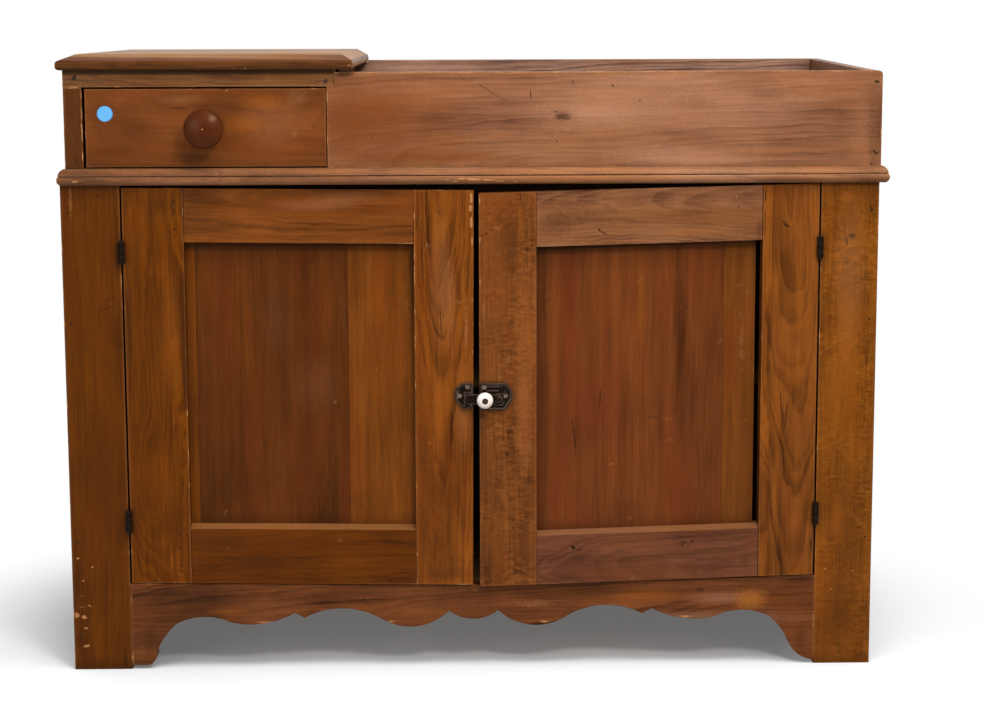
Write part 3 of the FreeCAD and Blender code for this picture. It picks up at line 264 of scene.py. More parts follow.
def old_finish():
    """Old thin varnish over stain, rubbed and dulled: polished and chipped along the edges, dirty and
    darkened with painted shade in the corners, paler on faces turned up or to the right, partly as a
    painted highlight, with small dents and dark specks. It gives a soft, uneven sheen."""
    tree, put, given = group("old_finish", {
        "Place": "Vector", "Low": "Vector", "High": "Vector", "Color": "Color", "Height": "Float",
        "Bare": "Color", "Wear": "Float", "Faded": "Float",
        "Specks": "Float", "Grime": "Float", "Gloss": "Float"},
        {"Color": "Color", "Roughness": "Float", "Normal": "Vector"})
    place = given["Place"]
    # how far a point lies from the board's nearest arris: the middle one of its depths behind the faces
    above = put("VectorMath SUBTRACT", place, given["Low"])
    below = put("VectorMath SUBTRACT", given["High"], place)
    depth = put("SeparateXYZ", put("VectorMath MINIMUM", above, below)).outputs
    small = put("Math MINIMUM", depth["X"], depth["Y"])
    large = put("Math MAXIMUM", depth["X"], depth["Y"])
    inward = put("Math MAXIMUM", small, put("Math MINIMUM", large, depth["Z"]))
    edge = put("MapRange SMOOTHSTEP", inward, 3.4 * MM, 0.2 * MM)
    # corners with other faces within 22 mm round them get dirt and painted shade
    hollow = put("AmbientOcclusion", None, 22 * MM, samples=2).outputs["AO"]
    corner = put("MapRange SMOOTHSTEP", hollow, 0.82, 0.30)
    proud = put("Math MULTIPLY", edge, put("MapRange", hollow, 0.55, 0.85))

    # wear comes and goes along an edge every 20 mm or so, and breaks into flakes of 2 mm
    rub = put("TexNoise", place, per(26), 5.0, 0.62)
    chipped = put("Math ADD", put("Math ADD", rub, given["Wear"]), put("Math MULTIPLY", proud, 0.25))
    chipped = put("Math MULTIPLY", put("MapRange", chipped, 0.97, 1.02), proud)

    # specks and pin holes about 1.5 mm across, one in every few 30 mm cells
    cells = put("TexVoronoi", place, per(30))
    pick = put("SeparateColor", cells.outputs["Color"]).outputs
    size = put("Math MULTIPLY_ADD", pick["Green"], 0.035, 0.010)
    pin = put("Math DIVIDE", cells.outputs["Distance"], size)
    pin = put("Math MULTIPLY", put("MapRange", pin, 1.1, 0.6),
              put("Math LESS_THAN", pick["Red"], given["Specks"]))
    # knocks as broad as a fingertip, where the finish is rubbed paler
    knock = put("MapRange", rub, 0.68, 0.76)

    # faces turned upward, and those turned toward the right, are painted paler: partly fading under hands,
    # water and daylight, partly a painted highlight where the light falls on them
    facing = put("SeparateXYZ", put("NewGeometry").outputs["Normal"]).outputs
    upward = put("Math MULTIPLY_ADD", facing["X"], 0.25, facing["Z"])
    upward = put("Math MAXIMUM", upward, facing["X"])
    faded = put("Math MULTIPLY", put("MapRange", upward, 0.93, 0.99), given["Faded"])
    dirt_and_shade = put("Math MULTIPLY", corner, given["Grime"])
    # faded and lit faces and rubbed edges, knocks, chips, pin holes, and dirt with painted shade lie over
    # the stain in that order
    colour = given["Color"]
    for share, top in ((put("Math MULTIPLY_ADD", proud, 0.14, faded), given["Bare"]),
                       (put("Math MULTIPLY", knock, 0.25), given["Bare"]), (chipped, given["Bare"]),
                       (put("Math MULTIPLY", pin, 0.75), "#1c0d07"), (dirt_and_shade, "#120804")):
        colour = put("Mix RGBA", share, colour, top)
    dust = put("TexNoise", place, per(4), 3.0, 0.65)
    shade = put("MapRange", dust, 0.25, 0.75, 0.90, 1.10)
    colour = put("Mix RGBA", 1.0, colour, shade, blend_type="MULTIPLY")

    smear = put("TexNoise", place, per(48), 2.0, 0.6)
    rough = put("Math MULTIPLY_ADD", put("Math SUBTRACT", smear, 0.5), 0.22, given["Gloss"])
    rough = put("Math MULTIPLY_ADD", chipped, 0.25, rough)
    rough = put("Math MULTIPLY_ADD", dirt_and_shade, 0.25, rough, use_clamp=True)

    # hand-planed flats roll by a third of a millimetre every 60 mm, and the fibres stand a tenth proud
    planed = put("TexNoise", place, per(60), 1.0)
    height = put("Math MULTIPLY_ADD", planed, 0.8, given["Height"])
    height = put("Math MULTIPLY_ADD", pin, -0.5, height)
    bump = put("Bump", 0.8, MM, Height=height)
    put("NodeGroupOutput", Color=colour, Roughness=rough, Normal=bump)
    return tree


def local_mark():
    """One mark at a known place on the front: an ellipse with a ragged edge, 1 inside and 0 outside."""
    tree, put, given = group("local_mark", {
        "Place": "Vector", "Centre": "Vector", "Reach": "Vector", "Tear": "Float", "Turn": "Float",
        "Ragged": "Float", "Soft": "Float"}, {"Mask": "Float"})
    from_centre = put("VectorMath SUBTRACT", given["Place"], given["Centre"])
    turned = put("VectorRotate Y_AXIS", from_centre, Angle=given["Turn"])
    spread = put("VectorMath MULTIPLY", turned, given["Reach"])
    reach = put("VectorMath LENGTH", spread).outputs["Value"]
    reach = put("Math MULTIPLY_ADD", given["Tear"], given["Ragged"], reach)
    inner = put("Math SUBTRACT", 1.0, given["Soft"])
    put("NodeGroupOutput", Mask=put("MapRange SMOOTHSTEP", reach, 1.0, inner))
    return tree


PINE, FINISH, MARK = slab_sawn_pine(), old_finish(), local_mark()
MARK_DEPTH = 25  # mm that a mark reaches into the board

# the y of the front faces that carry marks, in metres
CASE_FRONT, MOULDING_FRONT, KNOB_FRONT = -0.236, -0.244, -0.272

# what a mark is made of: colour, strength, soft edge, raggedness, and sunk depth in mm
MARKS = {
    "hole": ("#140a06", 0.92, 0.35, 0.5, 0.9), "chip": ("#b9824f", 0.85, 0.30, 2.0, 0.35),
    "gouge": ("#251209", 0.80, 0.40, 1.4, 0.5), "stain": ("#24120a", 0.26, 1.0, 0.9, 0.0),
    "scuff": ("#a87447", 0.32, 0.90, 2.2, 0.05), "flush": ("#9a5414", 0.40, 1.0, 0.5, 0.0),
    "red": ("#7d3418", 0.40, 1.0, 0.6, 0.0), "knot": ("#2e170c", 0.60, 0.80, 0.9, 0.1),
    "deep": ("#70380f", 0.40, 1.0, 0.15, 0.0), "gold": ("#a5682c", 0.50, 0.9, 0.9, 0.0),
    # the pinkish #c08d70 mark is a painted highlight: a broad sheen on the varnish
    "joint": ("#140a06", 0.75, 0.6, 0.2, 0.0), "painted_sheen": ("#c08d70", 0.24, 1.0, 0.2, 0.0),
    # the shade mark is painted shade, and the pale mark is partly paler wood and partly a painted highlight
    "shade": ("#3a1d0d", 0.40, 1.0, 0.3, 0.0), "pale": ("#a8744c", 0.18, 1.0, 0.4, 0.0),
    # the under mark is a painted shadow just below a board or rail that stands over the face
    "under": ("#170b05", 0.80, 0.7, 0.25, 0.0),
}


def stained_pine(name, box, light, dark, flush, order="XYZ", seed=0.0, pith=(0, 70), lean=0.03, ring=4.2,
                 grain=0.35, streak=0.8, blotch=1.2, curl=0.0, bare="#b57f4e", wear=0.16, specks=0.10,
                 grime=0.75, gloss=0.46, faded=0.0, marks=(), front=CASE_FRONT):
    """Old pine board, stained and thinly varnished by hand: a warm brown figure under a soft, uneven sheen.
    Order names the axes that lie across, through and along the grain. Pith is how far the heart of the log
    lies from the board's middle, across and through, and ring the breadth of a year's growth, in mm. Marks
    are (kind, x, z, half width, half height) in mm on the front, and a turn in degrees if they have one."""
    material, put, place = new_material(name)
    apart = put("SeparateXYZ", place).outputs
    board = put("CombineXYZ", *[apart[axis] for axis in order])
    low, high = box
    middle = [(low["XYZ".index(axis)] + high["XYZ".index(axis)]) / 2 for axis in order]
    heart = (middle[0] + pith[0] * MM, middle[1] + pith[1] * MM, middle[2])
    wood = put("Group", node_tree=PINE, Place=board, Seed=seed, Pith=heart, Lean=lean, Ring=ring * MM,
               Grain=grain, Streak=streak, Blotch=blotch, Curl=curl, Light=light, Dark=dark,
               Flush=flush)
    colour, height = wood.outputs["Color"], wood.outputs["Height"]
    tear = put("Math SUBTRACT", put("TexNoise", place, per(5), 3.0, 0.65), 0.5)
    for kind, x, z, half_wide, half_high, *turn in marks:
        tint, strength, soft, ragged, sunk = MARKS[kind]
        mask = put("Group", node_tree=MARK, Place=place, Centre=(x * MM, front, z * MM),
                   Reach=(per(half_wide), per(MARK_DEPTH), per(half_high)), Tear=tear,
                   Turn=math.radians(turn[0] if turn else 0), Ragged=ragged, Soft=soft)
        colour = put("Mix RGBA", put("Math MULTIPLY", mask, strength), colour, tint)
        if sunk:
            height = put("Math MULTIPLY_ADD", mask, -sunk, height)
    finish = put("Group", node_tree=FINISH, Place=place, Low=low, High=high, Color=colour,
                 Height=height, Bare=bare, Wear=wear, Faded=faded, Specks=specks, Grime=grime,
                 Gloss=gloss).outputs
    shader = put("BsdfPrincipled", Base_Color=finish["Color"], Roughness=finish["Roughness"], IOR=1.5,
                 Specular_IOR_Level=0.22, Specular_Tint="#ffcf9a", Normal=finish["Normal"],
                 Coat_Weight=0.05, Coat_Roughness=0.3)
    put("OutputMaterial", Surface=shader)
    return material


# ---------------------------------------------------------------- iron, steel, porcelain and paper

def japanned_iron(name, gloss=0.36, rust=0.35, rubbed="#a48c7a"):
    """Cast and stamped iron under old black japan, rubbed to grey metal on its edges and a little rusty
    in its hollows. It looks black with thin grey rims."""
    material, put, place = new_material(name)
    rounded = put("Bevel", 1.3 * MM, samples=4)
    turned = put("VectorMath DOT_PRODUCT", put("NewGeometry").outputs["Normal"],
                 rounded).outputs["Value"]
    edge = put("MapRange", turned, 0.995, 0.90)
    flake = put("TexNoise", place, per(2.2), 4.0, 0.65)
    bare = put("Math MULTIPLY", edge, put("MapRange", flake, 0.36, 0.50))
    hollow = put("AmbientOcclusion", None, 3 * MM, samples=4).outputs["AO"]
    stain = put("Math MULTIPLY", put("MapRange", hollow, 0.85, 0.35),
                put("MapRange", put("TexNoise", place, per(3), 3.0), 0.42, 0.60))
    colour = put("Mix RGBA", flake, "#16100d", "#080605")
    colour = put("Mix RGBA", put("Math MULTIPLY", stain, rust), colour, "#5a3320")
    colour = put("Mix RGBA", bare, colour, rubbed)
    rough = put("Math MULTIPLY_ADD", put("Math SUBTRACT", flake, 0.5), 0.4,
                put("Math MULTIPLY_ADD", stain, 0.3, gloss))
    # casting grain and scale pits about 0.8 mm across
    pits = put("TexNoise", place, per(0.8), 3.0, 0.6)
    bump = put("Bump", 0.5, 0.12 * MM, Height=pits)
    shader = put("BsdfPrincipled", Base_Color=colour, Metallic=put("Math MULTIPLY", bare, 0.8),
                 Roughness=rough, IOR=1.5, Specular_IOR_Level=0.20, Specular_Tint="#ffd2ad",
                 Normal=bump)
    put("OutputMaterial", Surface=shader)
    return material


def dull_steel(name, clean, brown, bare=0.9):
    """Plain steel screw heads, turned and slotted, gone dull under wax: small soft glints among brown."""
    material, put, place = new_material(name)
    patch = put("TexNoise", place, per(2.5), 4.0, 0.6)
    colour = put("Mix RGBA", put("MapRange", patch, 0.4, 0.62), clean, brown)
    rough = put("MapRange", patch, 0.3, 0.7, 0.38, 0.65)
    bump = put("Bump", 0.4, 0.08 * MM, Height=put("TexNoise", place, per(0.7), 2.0))
    shader = put("BsdfPrincipled", Base_Color=colour, Metallic=bare, Roughness=rough, Normal=bump)
    put("OutputMaterial", Surface=shader)
    return material


def glazed_porcelain(name):
    """White glazed porcelain, turned and fired, with fine dirty crazing. It is milky and shiny."""
    material, put, place = new_material(name)
    craze = put("TexVoronoi", place, per(3.2), feature="DISTANCE_TO_EDGE").outputs["Distance"]
    line = put("MapRange", craze, 0.035, 0.0)
    fade = put("MapRange", put("TexNoise", place, per(7), 2.0), 0.45, 0.62)
    line = put("Math MULTIPLY", line, put("Math MULTIPLY", fade, 0.45))
    tone = put("Mix RGBA", put("TexNoise", place, per(9), 3.0), "#f7ebe2", "#ecdfd3")
    colour = put("Mix RGBA", line, tone, "#8d7b63")
    # darker brown where other parts stand within 4 mm: painted shade round the knob's foot
    hollow = put("AmbientOcclusion", None, 4 * MM, samples=4).outputs["AO"]
    colour = put("Mix RGBA", put("MapRange", hollow, 0.8, 0.3, 0.0, 0.7), colour, "#4a3a2b")
    rough = put("MapRange", fade, 0.0, 1.0, 0.12, 0.22)
    bump = put("Bump", 0.15, 0.1 * MM, Height=put("TexNoise", place, per(6), 1.0))
    shader = put("BsdfPrincipled", Base_Color=colour, Roughness=rough, IOR=1.52, Normal=bump,
                 Coat_Weight=0.4, Coat_Roughness=0.05)
    put("OutputMaterial", Surface=shader)
    return material


DOT_MIDDLE = (-0.5155, -0.2335, 0.8015)


def gummed_paper(name):
    """A blank dot of sky-blue gummed paper, cut out with a punch: matt, faintly fibrous and darker at its
    rim."""
    material, put, place = new_material(name)
    pulp = put("TexNoise", place, per(0.9), 4.0, 0.7)
    colour = put("Mix RGBA", pulp, "#6db9ee", "#5aa3dc")
    from_middle = put("VectorMath SUBTRACT", place, DOT_MIDDLE)
    from_middle = put("VectorMath LENGTH", from_middle).outputs["Value"]
    rim = put("MapRange", from_middle, 9.6 * MM, 11.0 * MM, 0.0, 0.75)
    colour = put("Mix RGBA", rim, colour, "#3c77a3")
    bump = put("Bump", 0.3, 0.05 * MM, Height=pulp)
    shader = put("BsdfPrincipled", Base_Color=colour, Roughness=0.75, Specular_IOR_Level=0.3,
                 Normal=bump)
    put("OutputMaterial", Surface=shader)
    return material


# ---------------------------------------------------------------- worn boards

WELD = 2e-6  # metres: vertices nearer than this are one
SHARP = 0.5  # radians: an arris turns by more than this
SLIVER = 3e-5  # square metres: a smaller face keeps its arrises
UNEVEN = 0.75  # how much more a worn arris is rounded in some places than in others


def boards_in(whole, joints):
    """The faces of each board in a mesh, from left to right. Glued boards are told apart by the x of their
    joints, in mm, and the others by the gaps between them."""
    if joints:
        boards = [set() for _ in range(len(joints) + 1)]
        for face in whole.faces:
            # a face on the joint is told from a point 0.6 mm inside its board
            inside = face.calc_center_median().x / MM - 0.6 * face.normal.x
            boards[sum(inside > joint for joint in joints)].add(face)
        return boards
    bmesh.ops.remove_doubles(whole, verts=whole.verts, dist=WELD)
    left, boards = set(whole.faces), []
    while left:
        front = [left.pop()]
        board = set(front)
        while front:
            for edge in front.pop().edges:
                for face in edge.link_faces:
                    if face in left:
                        left.discard(face)
                        board.add(face)
                        front.append(face)
        boards.append(board)
    return sorted(boards, key=lambda board: sum(face.calc_center_median().x for face in board) / len(board))


def sharp_arrises(work):
    return [edge for edge in work.edges if len(edge.link_faces) == 2 and edge.calc_face_angle(0.0) > SHARP
            and min(face.calc_area() for face in edge.link_faces) > SLIVER]


def wear_edges(work, width, chips, step, seed):
    """Rounds every long arris of a board by hand: more in some places than in others, and deeply where a
    chip has gone. Chips are (x, y, z, reach, depth) in mm."""
    bmesh.ops.remove_doubles(work, verts=work.verts, dist=WELD)
    bmesh.ops.dissolve_limit(work, angle_limit=0.002, verts=work.verts, edges=work.edges)
    for edge in sharp_arrises(work):
        pieces = int(edge.calc_length() / (step * MM))
        if pieces > 1:
            bmesh.ops.subdivide_edges(work, edges=[edge], cuts=pieces - 1)
    arrises = sharp_arrises(work)
    corners = {vertex for edge in arrises for vertex in edge.verts}
    tree = kdtree.KDTree(len(corners))
    points = []
    for number, vertex in enumerate(corners):
        tree.insert(vertex.co, number)
        points.append(vertex.co.copy())
    tree.balance()
    made = bmesh.ops.bevel(work, geom=arrises, offset=width * MM, offset_type="OFFSET", segments=2,
                           profile=0.55, affect="EDGES", clamp_overlap=True)
    for vertex in {vertex for face in made["faces"] for vertex in face.verts}:
        _, number, _ = tree.find(vertex.co)
        source = points[number]
        # wear drifts every 24 mm or so along the arris, and more finely every 6 mm
        drift = noise.noise(source * 42.0 + Vector((seed, 0.0, 0.0)))
        fine = noise.noise(source * 160.0 + Vector((0.0, seed, 0.0)))
        grow = 1.0 + UNEVEN * (1.1 * drift + 0.7 * fine)
        for x, y, z, reach, depth in chips:
            gap = (source - Vector((x, y, z)) * MM).length / (reach * MM)
            if gap < 1.0:
                grow += depth / width * (1.0 - gap * gap) * (0.7 + 0.6 * abs(fine))
        vertex.co = source + (vertex.co - source) * max(grow, 0.35)


def worn(node, materials, slot, body, width=0.9, chips=(), step=8.0, joints=()):
    """Boards with hand-worn arrises in place of a plain node, one piece for each of its solids. Width is
    how far an arris is rounded, and step how often the rounding changes along it, in mm."""
    whole = bmesh.new()
    whole.from_mesh(nodes[node].data)
    boards = boards_in(whole, joints)
    whole.faces.index_update()
    for number, board in enumerate(boards):
        work = whole.copy()
        kept = {face.index for face in board}
        others = [face for face in work.faces if face.index not in kept]
        bmesh.ops.delete(work, geom=others, context="FACES")
        wear_edges(work, width, chips, step, seed=1.0 + 3.7 * number)
        name = "worn_" + node + ("_%d" % (number + 1) if len(boards) > 1 else "")
        mesh = bpy.data.meshes.new(name)
        work.to_mesh(mesh)
        work.free()
        for polygon in mesh.polygons:
            polygon.use_smooth = True
        mesh.materials.append(materials[number % len(materials)])
        piece = new_object(name, mesh)
        weigh = piece.modifiers.new("weigh_normals", "WEIGHTED_NORMAL")
        weigh.keep_sharp = False
        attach(piece, body)
        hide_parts(node)
    whole.free()


def soften(piece, width, angle=32):
    """Rounds the arrises of a node that keeps its own mesh."""
    weld = piece.modifiers.new("weld", "WELD")
    weld.merge_threshold = WELD
    bevel = piece.modifiers.new("soft_arris", "BEVEL")
    bevel.width = width * MM
    bevel.segments = 2
    bevel.limit_method = "ANGLE"
    bevel.angle_limit = math.radians(angle)
    weigh = piece.modifiers.new("weigh_normals", "WEIGHTED_NORMAL")
    weigh.keep_sharp = False


def bead(name, node, line, radius, material, body):
    """A half-round bead cast on the sunk face of a plate. Its line is given by x and z in mm."""
    front = [polygon for polygon in nodes[node].data.polygons if polygon.normal.y < -0.9]
    face = max(front, key=lambda polygon: polygon.area)
    curve = bpy.data.curves.new(name, "CURVE")
    curve.dimensions = "3D"
    curve.bevel_depth = radius * MM
    curve.bevel_resolution = 3
    curve.use_fill_caps = True
    spline = curve.splines.new("POLY")
    spline.points.add(len(line) - 1)
    for point, (x, z) in zip(spline.points, line):
        x, z = x * MM, z * MM
        rest = face.normal.x * (x - face.center.x) + face.normal.z * (z - face.center.z)
        point.co = (x, face.center.y - rest / face.normal.y, z, 1.0)
    curve.materials.append(material)
    piece = new_object(name, curve)
    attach(piece, body)


# ---------------------------------------------------------------- every board's colours and marks

# each solid's light and dark wood and its warmer streaks, from left to right
TONES = {
    "left_case_stile": [("#6b3502", "#301100", "#5e2a01")],
    "right_case_stile": [("#8f5111", "#381602", "#7c3f07")],
    "scalloped_apron": [("#844b27", "#190001", "#6e3815")],
    "well_front_board": [("#9f6a4a", "#502e1f", "#8e5730")],
    "drawer_front": [("#7b431d", "#49230c", "#723811")],
    "drawer_rail": [("#92623b", "#250706", "#7b4b22")],
    "drawer_stile": [("#633615", "#1b0502", "#53290a")],
    "top_board": [("#6c401f", "#240c04", "#5c3111")],
    "waist_moulding_front": [("#9b6847", "#49291b", "#8a542d")],
    "waist_moulding_left": [("#a06b4a", "#391a12", "#8a542d")],
    "waist_moulding_right": [("#a06b4a", "#391a12", "#8a542d")],
    "left_door_hinge_stile": [("#763b02", "#361400", "#682f01"), ("#834402", "#3d1800", "#743601")],
    "left_door_lock_stile": [("#945014", "#341102", "#7f3e09")],
    "left_door_top_rail": [("#824718", "#270902", "#6f360b")],
    "left_door_bottom_rail": [("#6e3602", "#250800", "#5e2901")],
    "left_door_panel": [("#914e0c", "#492002", "#813807"),
                        ("#66330c", "#311302", "#5a2407"),
                        ("#834710", "#411c03", "#743309")],
    "right_door_lock_stile": [("#834a1e", "#381706", "#733a11")],
    "right_door_top_rail": [("#94613f", "#3a1c11", "#804d26")],
    "right_door_bottom_rail": [("#7c4931", "#3d1e13", "#6f3b1e")],
    "right_door_panel": [("#733b17", "#3d1907", "#672a0f"), ("#784213", "#3f1d05", "#6c300c")],
    "right_door_hinge_stile": [("#925016", "#3a1603", "#7f3e0a"), ("#8b4d18", "#361504", "#793c0c")],
    "drawer_knob": [("#532610", "#301105", "#4d1f08")],
    "well_right_side": [("#916445", "#583724", "#87552e")],
    "well_back_board": [("#a8836f", "#4a2f2a", "#946a48")],
    "drawer_end_board": [("#7e4b25", "#4c2811", "#753f17")],
    "drawer_partition": [("#916445", "#583724", "#87552e")],
    "left_side_board": [("#713f1c", "#43210c", "#693511")],
    "right_side_board": [("#804a1e", "#4c270d", "#763e12")],
    "back_boards": [("#a47d53", "#63462d", "#986b39")],
    "well_floor": [("#a47c57", "#63452f", "#986a3b")],
    # the door stop is near black: painted shade for the dark gap between the doors, where it shows
    "door_stop": [("#361e10", "#1d0c05", "#311808")],
    "plain": [("#c19463", "#765437", "#b47f44")],
}
